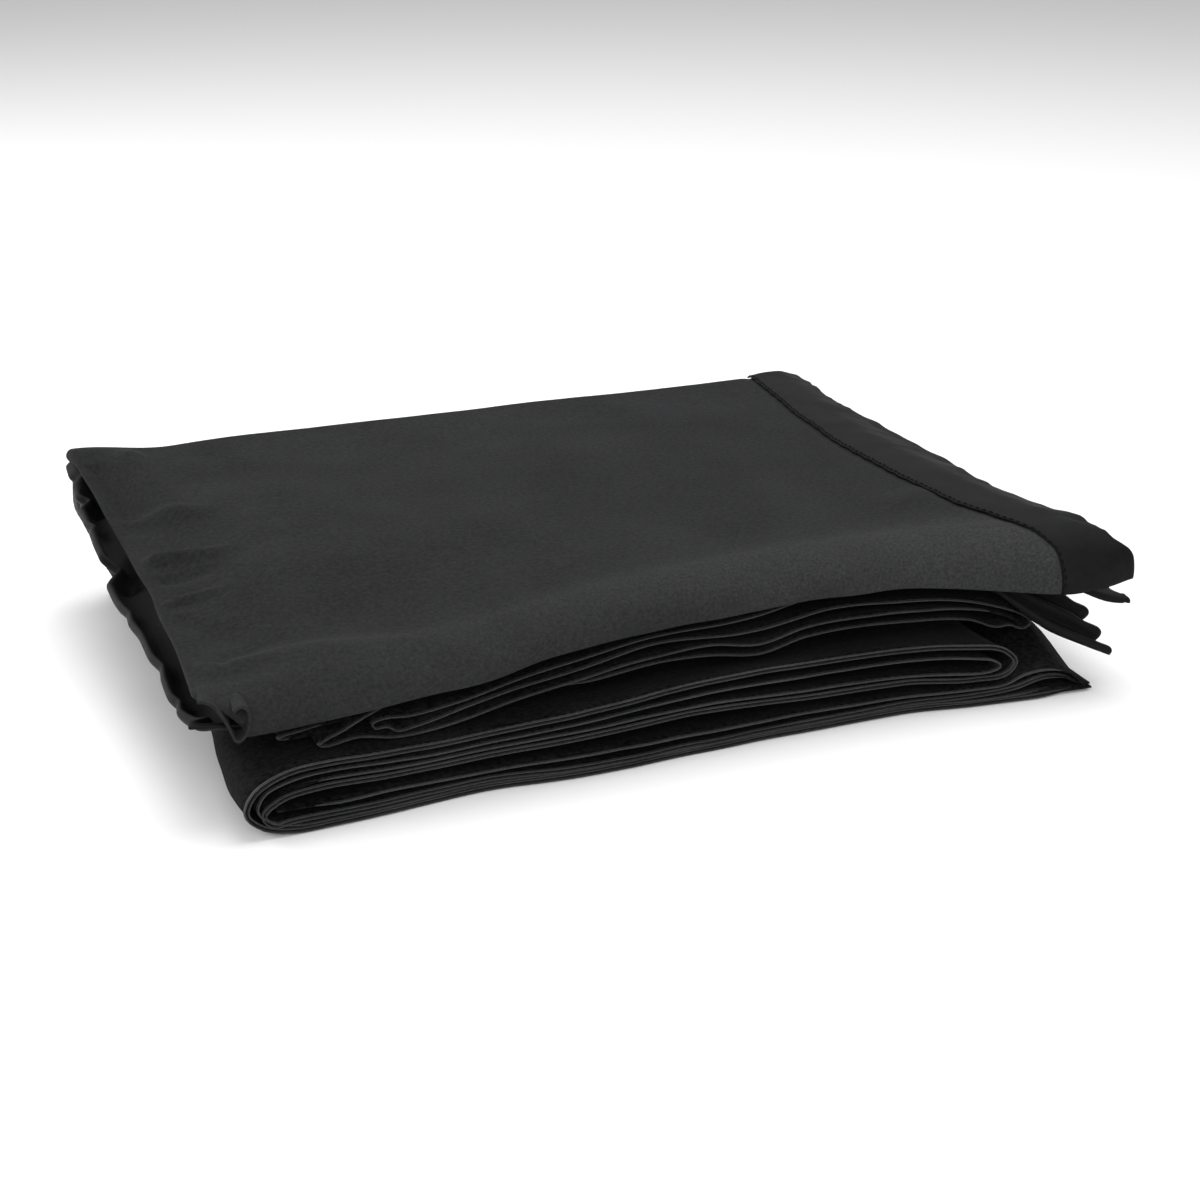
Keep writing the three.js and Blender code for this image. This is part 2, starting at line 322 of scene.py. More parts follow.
@dataclass(frozen=True)
class ClothFinish:
    """Woven or napped cloth: its colour, weave and sheen."""

    name: str
    slot: str
    dark: Triple
    light: Triple
    roughness: float
    sheen: float
    sheen_roughness: float
    threads_per_metre: float
    weave_depth: float
    nap_scale: float
    nap_depth: float
    specular: float = 0.35
    # Lighter colour for raised nap, also laid on the cover's flap as painted sheen.
    raised_nap_and_sheen: Triple = (0.041, 0.0415, 0.0426)
    twill: bool = False
    tuft_scale: float = 850.0
    cloud_scale: float = 22.0
    nap_share: float = 0.72

    def build(self) -> Shader:
        """Make the material.

        Returns:
            The finished shader.
        """
        shader = Shader(self.name, self.slot)
        coords = shader.node("ShaderNodeTexCoord")
        nap = shader.node("ShaderNodeTexNoise", Scale=self.nap_scale, Detail=4.0, Roughness=0.65)
        shader.link(coords.outputs["Object"], nap.inputs["Vector"])
        cloud = shader.node("ShaderNodeTexNoise", Scale=self.cloud_scale, Detail=3.0, Roughness=0.5)
        shader.link(coords.outputs["Object"], cloud.inputs["Vector"])
        mixed = shader.node("ShaderNodeMath", operation="MULTIPLY_ADD")
        shader.link(nap.outputs["Fac"], mixed.inputs[0])
        mixed.inputs[1].default_value = self.nap_share
        scaled = shader.node("ShaderNodeMath", operation="MULTIPLY")
        scaled.inputs[1].default_value = 1.0 - self.nap_share
        shader.link(cloud.outputs["Fac"], scaled.inputs[0])
        shader.link(scaled.outputs["Value"], mixed.inputs[2])
        colour = shader.ramp(mixed.outputs["Value"], 0.36, 0.64, self.dark, self.light)
        tufts = shader.node("ShaderNodeTexNoise", Scale=self.tuft_scale, Detail=5.0, Roughness=0.7)
        shader.link(coords.outputs["Object"], tufts.inputs["Vector"])
        raised_nap_and_sheen = shader.ramp(tufts.outputs["Fac"], 0.34, 0.66, self.light, self.raised_nap_and_sheen)
        # The nap attribute mixes in the lighter colour: raised nap in patches and painted sheen along the
        # cover's flap.
        nap_and_sheen_share = shader.node("ShaderNodeAttribute", attribute_name="nap")
        blend = shader.node("ShaderNodeMixRGB", blend_type="MIX")
        shader.link(nap_and_sheen_share.outputs["Fac"], blend.inputs["Fac"])
        shader.link(colour, blend.inputs["Color1"])
        shader.link(raised_nap_and_sheen, blend.inputs["Color2"])
        shader.link(blend.outputs["Color"], shader.surface.inputs["Base Color"])
        weave = self._weave(shader, coords)
        normal = shader.bump(weave, 0.55, self.weave_depth)
        normal = shader.bump(nap.outputs["Fac"], 0.6, self.nap_depth, normal)
        shader.link(normal, shader.surface.inputs["Normal"])
        shader.surface.inputs["Roughness"].default_value = self.roughness
        shader.surface.inputs["Specular IOR Level"].default_value = self.specular
        shader.surface.inputs["Sheen Weight"].default_value = self.sheen
        shader.surface.inputs["Sheen Roughness"].default_value = self.sheen_roughness
        shader.surface.inputs["Sheen Tint"].default_value = (0.9, 0.92, 1.0, 1.0)
        return shader

    def _weave(self, shader: Shader, coords: bpy.types.Node) -> Socket:
        """Crossing threads, from the cloth's own coordinates in metres.

        Args:
            shader: The material being built.
            coords: Its texture coordinate node.

        Returns:
            The height of the weave, from 0 to 1.
        """
        turn = math.radians(32.0) if self.twill else 0.0
        mapping = shader.node("ShaderNodeMapping")
        mapping.inputs["Rotation"].default_value = (0.0, 0.0, turn)
        shader.link(coords.outputs["UV"], mapping.inputs["Vector"])
        parts = shader.node("ShaderNodeSeparateXYZ")
        shader.link(mapping.outputs["Vector"], parts.inputs["Vector"])
        waves = []
        for axis in ("X", "Y"):
            scaled = shader.node("ShaderNodeMath", operation="MULTIPLY")
            scaled.inputs[1].default_value = self.threads_per_metre * math.tau
            shader.link(parts.outputs[axis], scaled.inputs[0])
            wave = shader.node("ShaderNodeMath", operation="SINE")
            shader.link(scaled.outputs["Value"], wave.inputs[0])
            waves.append(wave.outputs["Value"])
        crossed = shader.node("ShaderNodeMath", operation="MULTIPLY_ADD")
        shader.link(waves[0], crossed.inputs[0])
        shader.link(waves[1], crossed.inputs[1])
        crossed.inputs[2].default_value = 0.5
        return crossed.outputs["Value"]


@dataclass(frozen=True)
class MetalFinish:
    """Plated metal with fine turning marks and worn rims."""

    name: str
    slot: str
    colour: Triple
    worn: Triple
    roughness: float

    def build(self) -> Shader:
        """Make the material.

        Returns:
            The finished shader.
        """
        shader = Shader(self.name, self.slot)
        coords = shader.node("ShaderNodeTexCoord")
        marks = shader.node("ShaderNodeTexNoise", Scale=900.0, Detail=3.0)
        shader.link(coords.outputs["Object"], marks.inputs["Vector"])
        colour = shader.ramp(marks.outputs["Fac"], 0.5, 0.8, self.colour, self.worn)
        shader.link(colour, shader.surface.inputs["Base Color"])
        normal = shader.bump(marks.outputs["Fac"], 0.3, 0.00002)
        shader.link(normal, shader.surface.inputs["Normal"])
        shader.surface.inputs["Metallic"].default_value = 1.0
        shader.surface.inputs["Roughness"].default_value = self.roughness
        return shader


class Wardrobe:
    """Every finish on the cape, built once."""

    def __init__(self) -> None:
        """Build the finishes."""
        self.matte = ClothFinish(
            name="matte_cloth", slot="matte_cloth", dark=(0.0052, 0.0053, 0.0055),
            light=(0.0172, 0.0175, 0.018), roughness=0.85, sheen=0.025, sheen_roughness=0.4,
            threads_per_metre=1400.0, weave_depth=0.00007, nap_scale=560.0, nap_depth=0.00028,
            specular=0.1,
        ).build()
        # The same matte cloth made darker as painted shade, for the plies inside the pile below the cover.
        self.shadow_matte = ClothFinish(
            name="matte_cloth_painted_shade", slot="matte_cloth", dark=(0.0002, 0.0002, 0.0003),
            light=(0.0145, 0.0147, 0.0151), roughness=0.9, sheen=0.015, sheen_roughness=0.45,
            threads_per_metre=1400.0, weave_depth=0.00007, nap_scale=480.0, nap_depth=0.0004,
            specular=0.05,
        ).build()
        self.satin = ClothFinish(
            name="satin_cloth", slot="satin_cloth", dark=(0.0028, 0.0029, 0.0031),
            light=(0.0052, 0.0053, 0.0056), roughness=0.56, sheen=0.006, sheen_roughness=0.3,
            threads_per_metre=2600.0, weave_depth=0.00002, nap_scale=300.0, nap_depth=0.00005,
            specular=0.1,
        ).build()
        # Lighter than the plies' cloth: the hem's own tone with a painted highlight along its rounded edge,
        # where light catches it.
        self.hem = ClothFinish(
            name="rolled_hem", slot="rolled_hem", dark=(0.018, 0.0182, 0.0187),
            light=(0.042, 0.0424, 0.0432), roughness=0.62, sheen=0.05, sheen_roughness=0.35,
            threads_per_metre=1800.0, weave_depth=0.00005, nap_scale=900.0, nap_depth=0.00008,
            specular=0.25,
        ).build()
        self.thread = ClothFinish(
            name="seam_thread", slot="seam_thread", dark=(0.001, 0.001, 0.0011),
            light=(0.0028, 0.0028, 0.003), roughness=0.75, sheen=0.0, sheen_roughness=0.3,
            threads_per_metre=3000.0, weave_depth=0.00003, nap_scale=2500.0, nap_depth=0.00003,
            specular=0.1,
        ).build()
        self.band = ClothFinish(
            name="neck_band_cloth", slot="neck_band_cloth", dark=(0.012, 0.0122, 0.0127),
            light=(0.022, 0.0223, 0.023), roughness=0.75, sheen=0.05, sheen_roughness=0.4,
            threads_per_metre=1500.0, weave_depth=0.00008, nap_scale=900.0, nap_depth=0.00006,
            twill=True,
        ).build()
        self.metal = MetalFinish(
            name="stud_metal", slot="stud_metal", colour=(0.055, 0.055, 0.058), worn=(0.22, 0.21, 0.2),
            roughness=0.3,
        ).build()
        self.label = ClothFinish(
            name="label_satin", slot="label_satin", dark=(0.42, 0.41, 0.39), light=(0.55, 0.54, 0.51),
            roughness=0.45, sheen=0.2, sheen_roughness=0.3, threads_per_metre=2200.0,
            weave_depth=0.00002, nap_scale=500.0, nap_depth=0.00003, specular=0.5,
        ).build()


# ------------------------------------------------------------------ mesh helpers


def metres(size: Station) -> Station:
    """Turn a flat size in millimetres into metres."""
    return size[0] / MM_PER_METRE, size[1] / MM_PER_METRE


def finish_mesh(name: str, bm: bmesh.types.BMesh, shader: Shader, body: Body | None) -> bpy.types.Object:
    """Turn a bmesh into a smooth, dressed piece that rides on a body.

    Args:
        name: The piece's name.
        bm: Its mesh, which is freed.
        shader: Its finish.
        body: The half it moves with, or None for a piece attached to neither.

    Returns:
        The new object.
    """
    mesh = bpy.data.meshes.new(name)
    for face in bm.faces:
        face.smooth = True
    bm.to_mesh(mesh)
    bm.free()
    piece = bpy.data.objects.new(name, mesh)
    bpy.context.scene.collection.objects.link(piece)
    mesh.materials.append(shader.material)
    if body is not None:
        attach(piece, body.value)
    return piece


def laid_grid(
    columns: int,
    rows: int,
    place: Place,
    size: Station,
    nap: Callable[[float, float], float] | None = None,
) -> bmesh.types.BMesh:
    """A sheet of cloth laid by a rule.

    Args:
        columns: Faces along the first direction.
        rows: Faces along the second.
        place: Gives each point, in millimetres, from its two shares from 0 to 1.
        size: The cloth's flat width and length in millimetres, for its weave.
        nap: How far the lighter colour of raised nap and painted sheen is mixed in, from 0 to 1, at two
            shares; nowhere where it is not given.

    Returns:
        The sheet, in metres.
    """
    bm = bmesh.new()
    bmesh.ops.create_grid(bm, x_segments=columns, y_segments=rows, size=0.5)
    uv = bm.loops.layers.uv.new("cloth")
    if nap is not None:
        raised_nap_and_sheen = bm.verts.layers.float.new("nap")
        for vert in bm.verts:
            vert[raised_nap_and_sheen] = nap(vert.co.x + 0.5, vert.co.y + 0.5)
    for face in bm.faces:
        for loop in face.loops:
            spot = loop.vert.co
            loop[uv].uv = ((spot.x + 0.5) * size[0] * MM, (spot.y + 0.5) * size[1] * MM)
    for vert in sorted(bm.verts, key=lambda v: (v.co.y, v.co.x)):
        vert.co = place(vert.co.x + 0.5, vert.co.y + 0.5) * MM
    return bm


def thicken(piece: bpy.types.Object, thickness: float) -> None:
    """Give a sheet its cloth's thickness.

    Args:
        piece: The sheet.
        thickness: In millimetres.
    """
    solid = piece.modifiers.new("cloth", "SOLIDIFY")
    solid.thickness = thickness * MM
    solid.offset = 0.0
    solid.use_even_offset = False


def laid_tube(steps: int, around: int, place: Place, size: Station) -> bmesh.types.BMesh:
    """A closed tube laid by a rule, with its ends filled.

    Args:
        steps: Faces along the tube.
        around: Faces around it.
        place: Gives each point, in millimetres, from its shares along and around.
        size: Flat length and girth in millimetres, for its weave.

    Returns:
        The tube, in metres.
    """
    bm = laid_grid(steps, around, place, size)
    bmesh.ops.remove_doubles(bm, verts=bm.verts, dist=0.000002)
    bmesh.ops.holes_fill(bm, edges=[e for e in bm.edges if e.is_boundary], sides=around + 2)
    bmesh.ops.recalc_face_normals(bm, faces=bm.faces)
    return bm


# ------------------------------------------------------------------ the shape of the pile


@dataclass
class Pile:
    """Heights and edges that every ply of the pile shares, in millimetres."""

    lower_front: Line = field(
        default_factory=lambda: Line(
            [(-190, -145), (-165, -144), (-129, -141), (-91, -136), (-50, -138.5), (0, -135.5),
             (42, -133.5), (92, -132.5), (123, -137), (174, -141)]
        )
    )
    lower_top_front: Line = field(
        default_factory=lambda: Line(
            [(-185, 24.6), (-165, 26.6), (-129, 24.3), (-95, 23.2), (-50, 26.4), (0, 29.4), (42, 29.4),
             (92, 28), (122, 26), (140, 24)]
        )
    )
    upper_front: Line = field(
        default_factory=lambda: Line([(-160, -131), (-110, -130), (-50, -125), (0, -122), (190, -122)])
    )
    upper_base_front: Line = field(
        default_factory=lambda: Line(
            [(-170, 27.5), (-152, 27), (-122, 25.6), (-104, 26.5), (-71, 31), (-43, 31.5), (-13, 34.5),
             (9, 34), (31, 31.2), (52, 35), (98, 34.6), (127, 31.5), (152, 24.5), (165, 24)]
        )
    )
    left_edge: Line = field(
        default_factory=lambda: Line(
            [(-140, -197.5), (-100, -193.5), (-60, -190), (0, -187), (60, -186), (110, -187), (138, -189)]
        )
    )
    left_height: Line = field(
        default_factory=lambda: Line([(-140, 51), (-125, 52), (-40, 54), (44, 57.5), (100, 64.5), (138, 71)])
    )
    lower_inside: float = 23.4
    upper_inside: float = 30.3
    lower_back: float = 138.0
    upper_back: float = 136.0
    cover_height: float = 69.2
    cover_loft: float = 1.6
    swell_length: float = 160.0
    swell_start: float = -100.0
    upper_swell: float = 14.0
    lower_swell: float = 9.0
    roll_draw: float = 11.0
    roll_draw_start: float = -128.0

    def inward(self, y: float, front: float, reach: float) -> float:
        """How far a place is from the front edge.

        Args:
            y: The place.
            front: Where the front edge is.
            reach: Depth over which the front's shape gives way to the inside's.

        Returns:
            0 at the front, 1 inside.
        """
        return smooth((y - front) / reach)

    def lower_top(self, x: float, y: float) -> float:
        """Height of the lower half's top ply.

        Args:
            x: Place along the pile.
            y: Depth.

        Returns:
            The height, in millimetres.
        """
        share = self.inward(y, self.lower_front.at(x), 34.0)
        return mix(self.lower_top_front.at(x), self.lower_inside, share)

    def upper_base(self, x: float, y: float) -> float:
        """Height of the upper half's lowest ply.

        Args:
            x: Place along the pile.
            y: Depth.

        Returns:
            The height, in millimetres.
        """
        share = self.inward(y, self.upper_front.at(x), 30.0)
        return mix(self.upper_base_front.at(x), self.upper_inside, share)

    def cover_top(self, x: float, y: float) -> float:
        """Height of the top panel's face, dents and swells included.

        Args:
            x: Place along the pile.
            y: Depth.

        Returns:
            The height, in millimetres.
        """
        height = self.cover_height
        height -= 8.5 * smooth((-15.0 - x) / 95.0) * smooth((-30.0 - y) / 90.0)
        height -= 0.8 * smooth((y - 60.0) / 80.0)
        height -= 1.2 * smooth((-100.0 - x) / 60.0)
        height += 0.7 * ripple(x, y, 70.0, 3.1) + 0.25 * ripple(x, y, 24.0, 8.4)
        edge = self.left_height.at(y) + 0.7 * ripple(y, 8.0, 30.0, 33.0)
        near = 1.0 - smooth((x - self.left_edge.at(y) - 1.0) / 50.0)
        return mix(height, edge, near)


PILE = Pile()


# ------------------------------------------------------------------ plies and their hems


@dataclass
class Ply:
    """One run of cloth through the pile, with the rolled hem on its front edge.

    stations are the ply's line at the front, as (x, z) in millimetres. upper says which half it lies
    in, and so which heights its line keeps to further back.
    """

    name: str
    stations: Sequence[Station]
    upper: bool
    replaces: tuple[str, ...]
    hem_replaces: tuple[str, ...]
    front_shift: float = 0.0
    right_rise: float = 0.0
    seed: float = 1.0
    cloth: float = 0.75
    hem_width: float = 2.5
    hem_height: float = 0.95
    groove: float = 0.0
    step: float = 3.0
    rows: int = 40
    hemmed: bool = True

    def __post_init__(self) -> None:
        """Round the ply's line."""
        self.line = FoldLine(self.stations)

    @property
    def body(self) -> Body:
        """The half that the ply moves with."""
        return Body.UPPER if self.upper else Body.LOWER

    def front(self, x: float) -> float:
        """Where the ply's front edge is.

        Args:
            x: Place along the pile.

        Returns:
            The edge's depth y.
        """
        edge = PILE.upper_front if self.upper else PILE.lower_front
        return edge.at(x) + self.front_shift + 0.7 * ripple(x, 0.0, 30.0, self.seed)

    def height(self, x: float, z: float, y: float) -> float:
        """Height at depth y of the part of the ply that is at (x, z) at the front.

        Args:
            x: Place along the pile.
            z: Height at the front.
            y: Depth.

        Returns:
            The height there.
        """
        wave = math.sin(math.tau * (y - PILE.swell_start) / PILE.swell_length)
        settled = smooth((y - self.front(x) - 6.0) / 34.0) * wave
        if self.upper:
            base = PILE.upper_base_front.at(x)
            roof = PILE.cover_height - PILE.cover_loft
            share = (z - base) / (roof - base)
            here = PILE.cover_top(x, y) - PILE.cover_loft
            sag = PILE.upper_swell * max(share * (1.0 - share), 0.0) * settled
            return mix(PILE.upper_base(x, y), here, share) + sag
        share = z / PILE.lower_top_front.at(x)
        rise = self.right_rise * smooth((x - 138.0) / 26.0)
        rise *= smooth((y - self.front(x)) / 45.0)
        sag = PILE.lower_swell * max(share * (1.0 - share), 0.0) * settled
        return share * PILE.lower_top(x, y) + rise + sag

    def slide(self, x: float, y: float) -> float:
        """How far the ply's left roll draws in towards the back.

        Args:
            x: Place along the pile.
            y: Depth.

        Returns:
            The shift to the right, in millimetres.
        """
        if self.upper:
            return 0.0
        drawn = PILE.roll_draw * smooth((y - PILE.roll_draw_start) / 110.0)
        drawn += 1.2 * ripple(y, 3.0, 26.0, self.seed)
        return drawn * smooth((-120.0 - x) / 60.0)

    def spot(self, distance: float, y: float, lift: float = 0.0) -> Vector:
        """A point of the ply.

        Args:
            distance: Distance along the ply's line.
            y: Depth.
            lift: Height off the ply, to the left of the line's direction.

        Returns:
            The point, in millimetres.
        """
        x, z = self.line.at(distance)
        across_x, across_z = self.line.normal(distance)
        height = self.height(x, z, y)
        return Vector((x + across_x * lift + self.slide(x, y), y, height + across_z * lift))

    def sheet(self, shader: Shader) -> bpy.types.Object:
        """Lay the ply's cloth.

        Args:
            shader: Its finish.

        Returns:
            The sheet.
        """
        inset = self.hem_width * 0.5 if self.hemmed else 0.0
        back = PILE.upper_back if self.upper else PILE.lower_back

        def place(along: float, deep: float) -> Vector:
            """Place one point of the cloth.

            Args:
                along: Share of its width.
                deep: Share of its depth.

            Returns:
                The point, in millimetres.
            """
            distance = along * self.line.length
            x = self.line.at(distance)[0]
            front = self.front(x) + inset
            edge = back + 1.1 * ripple(x, 40.0, 55.0, self.seed + 5.0)
            y = mix(front, edge, deep)
            swell = 0.22 * ripple(distance, y, 36.0, self.seed + 2.0) * smooth(deep * 8.0)
            return self.spot(distance, y, swell)

        columns = round(self.line.length / self.step)
        depth = back - self.front(0.0) - inset
        bm = laid_grid(columns, self.rows, place, (self.line.length, depth))
        piece = finish_mesh(self.name, bm, shader, self.body)
        thicken(piece, self.cloth)
        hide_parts(*self.replaces)
        self.flat = (self.line.length * MM, depth * MM)
        return piece

    def hem(self, shader: Shader) -> bpy.types.Object:
        """Roll the hem along the ply's front edge.

        Args:
            shader: Its finish.

        Returns:
            The hem.
        """
        half = self.hem_width / 2
        thick = self.hem_height / 2

        def place(along: float, around: float) -> Vector:
            """Place one point of the tube.

            Args:
                along: Share of its length.
                around: Share of its girth.

            Returns:
                The point, in millimetres.
            """
            distance = along * self.line.length
            x = self.line.at(distance)[0]
            angle = math.tau * around
            pull = 0.12 * math.sin(distance * math.tau / 3.6)
            wave = 0.35 * ripple(distance, 9.0, 17.0, self.seed + 3.0)
            across = math.copysign(abs(math.cos(angle)) ** 0.75, math.cos(angle))
            up = math.copysign(abs(math.sin(angle)) ** 0.9, math.sin(angle))
            stitched = 1.0 - 0.45 * math.exp(-(((across - 0.55) / 0.2) ** 2))
            y = self.front(x) + half + half * across + 0.3 * wave
            if across < 0.0:
                y += self.groove * math.exp(-((up / 0.42) ** 2))
            ends = smooth(min(distance, self.line.length - distance) / 26.0)
            lift = thick * up * stitched * mix(0.3, 1.0, ends) + wave * 0.5 + pull * 0.3
            return self.spot(distance, y + 3.0 * (1.0 - ends), lift)

        columns = round(self.line.length / 1.5)
        around = 28 if self.groove else 16
        bm = laid_tube(columns, around, place, (self.line.length, 4 * half))
        piece = finish_mesh(self.name + "_hem", bm, shader, self.body)
        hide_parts(*self.hem_replaces)
        return piece

    def build(self, cloth: Shader, hem: Shader, rests_on: Sequence[str]) -> bpy.types.Object:
        """Args:
            cloth: Finish of the sheet.
            hem: Finish of the hem.
            rests_on: Not used.

        Returns:
            The sheet.
        """
        piece = self.sheet(cloth)
        extras = [self.hem(hem)] if self.hemmed else []
        LOG.info("%s: %.0f mm of cloth through the pile", self.name, self.line.length)
        return piece


class LowerHalf:
    """The lower half: an outer and an inner ply, rolled at the left, a loose under ply and a core."""

    stitched_from: float = 385.0
    stitched_to: float = 640.0
    stitch_lift: float = 0.62

    def __init__(self, wardrobe: Wardrobe) -> None:
        """Keep the finishes.

        Args:
            wardrobe: The cape's finishes.
        """
        self.wardrobe = wardrobe

    def build(self) -> None:
        """Lay the plies from the surface up, and sew the top run's hem."""
        outer = Ply(
            "lower_outer_cloth",
            [(176, 1.6), (150, 1.4), (60, 1.3), (-60, 1.3), (-150, 1.4), (-167, 1.8), (-177.5, 4.7),
             (-183.6, 11), (-180.5, 18.5), (-170, 24), (-152, 25.6), (-129, 24.3), (-95, 23.2),
             (-50, 26.4), (0, 29.4), (42, 29.4), (92, 28), (122, 26), (134, 23.5), (139.4, 18),
             (136, 13.4), (122, 12.2), (91, 13.9), (42, 15.4), (0, 17.6), (-50, 16.6), (-95, 14.6),
             (-129, 15.6), (-158, 16.6), (-171, 14.4), (-177.4, 9.4), (-174.5, 5.2), (-166, 5.6),
             (-129, 5.2), (-95, 4.9), (-50, 4.2), (42, 4.2), (122, 5.2), (140, 6.6), (152, 9.4),
             (163, 7.6), (170, 4.4), (175, 3.5)],
            False, ("lower_outer_ply",), ("lower_outer_hem",), seed=1.3, right_rise=3.0, hem_width=3.2,
            hem_height=2.1, groove=2.6,
        )
        outer.build(self.wardrobe.shadow_matte, self.wardrobe.hem, [])
        inner = Ply(
            "lower_inner_cloth",
            [(166, 3.0), (60, 2.8), (-60, 2.8), (-150, 2.9), (-166, 3.4), (-175, 6.2), (-180, 11.2),
             (-177.5, 17), (-168, 20.9), (-150, 22.2), (-129, 20.7), (-95, 19.2), (-50, 22.3),
             (0, 24.6), (42, 24), (92, 22.8), (120, 21.4), (130, 19.4), (133, 16.8), (129, 15),
             (112, 15.1), (91, 16.2), (42, 18), (0, 20), (-50, 19), (-95, 16.8), (-129, 17.9),
             (-150, 19.0), (-163, 17.9), (-171, 16.6)],
            False, ("lower_inner_ply",), ("lower_inner_hem",), seed=2.7, front_shift=0.8, cloth=0.6,
        )
        inner.build(self.wardrobe.shadow_matte, self.wardrobe.hem, ["lower_outer_cloth"])
        under = Ply(
            "lower_under_cloth",
            [(-173, 9.9), (-164, 9.6), (-150, 9.2), (-129, 9.6), (-95, 8), (-50, 8.9), (0, 8.4), (42, 8.2),
             (91, 7.6), (122, 7.6), (136, 8.2), (144, 11.4), (152, 12.6), (163, 10.6), (168, 7.2),
             (172.5, 3)],
            False, ("lower_inner_ply",), ("lower_inner_hem",), seed=4.1, front_shift=0.4,
            right_rise=13.0,
        )
        under.build(self.wardrobe.shadow_matte, self.wardrobe.hem, ["lower_outer_cloth"])
        core = Ply(
            "lower_core_cloth",
            [(-164, 12.4), (-129, 12.8), (-50, 13.8), (0, 14.4), (42, 13), (100, 11.2), (107, 10.4),
             (100, 9.6), (42, 10.6), (0, 11.4), (-50, 11.2), (-129, 11), (-160, 10.9)],
            False, ("lower_inner_ply",), (), seed=6.3, front_shift=16.0, cloth=0.6, rows=34, hemmed=False,
        )
        core.build(self.wardrobe.shadow_matte, self.wardrobe.hem, ["lower_under_cloth"])
        self.hem_stitches(outer)

    def hem_stitches(self, outer: Ply) -> None:
        """Sew the stitches along the hem of the top run.

        Args:
            outer: The outer ply.
        """
        count = round((self.stitched_to - self.stitched_from) / Stitches.pitch)
        seam = outer.hem_width * 0.78 + 0.4
        places = []
        for index in range(count):
            ends = []
            for share in (0.15, 0.8):
                distance = self.stitched_from + (index + share) * Stitches.pitch
                y = outer.front(outer.line.at(distance)[0]) + seam
                ends.append(outer.spot(distance, y, self.stitch_lift))
            places.append(ends)
        piece = Stitches(self.wardrobe).sew("lower_hem_stitches", places, Body.LOWER)
        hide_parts("lower_hem_thread")


class Stitches:
    """Short, rounded stitches, each a small bar laid between two points."""

    pitch: float = 3.4
    radius: float = 0.42

    def __init__(self, wardrobe: Wardrobe) -> None:
        """Keep the finishes.

        Args:
            wardrobe: The cape's finishes.
        """
        self.wardrobe = wardrobe

    def sew(self, name: str, places: Sequence[Sequence[Vector]], body: Body) -> bpy.types.Object:
        """Sew one row.

        Args:
            name: The row's name.
            places: Start and end of each stitch, in millimetres.
            body: The half that the row moves with.

        Returns:
            The row, as one piece.
        """
        bm = bmesh.new()
        for start, end in places:
            along = end - start
            made = bmesh.ops.create_icosphere(bm, subdivisions=1, radius=1.0)
            turn = along.to_track_quat("Z", "Y").to_matrix()
            for vert in made["verts"]:
                local = Vector(vert.co)
                local.x *= self.radius
                local.y *= self.radius
                local.z *= along.length / 2
                vert.co = ((start + end) / 2 + turn @ local) * MM
        return finish_mesh(name, bm, self.wardrobe.thread, body)


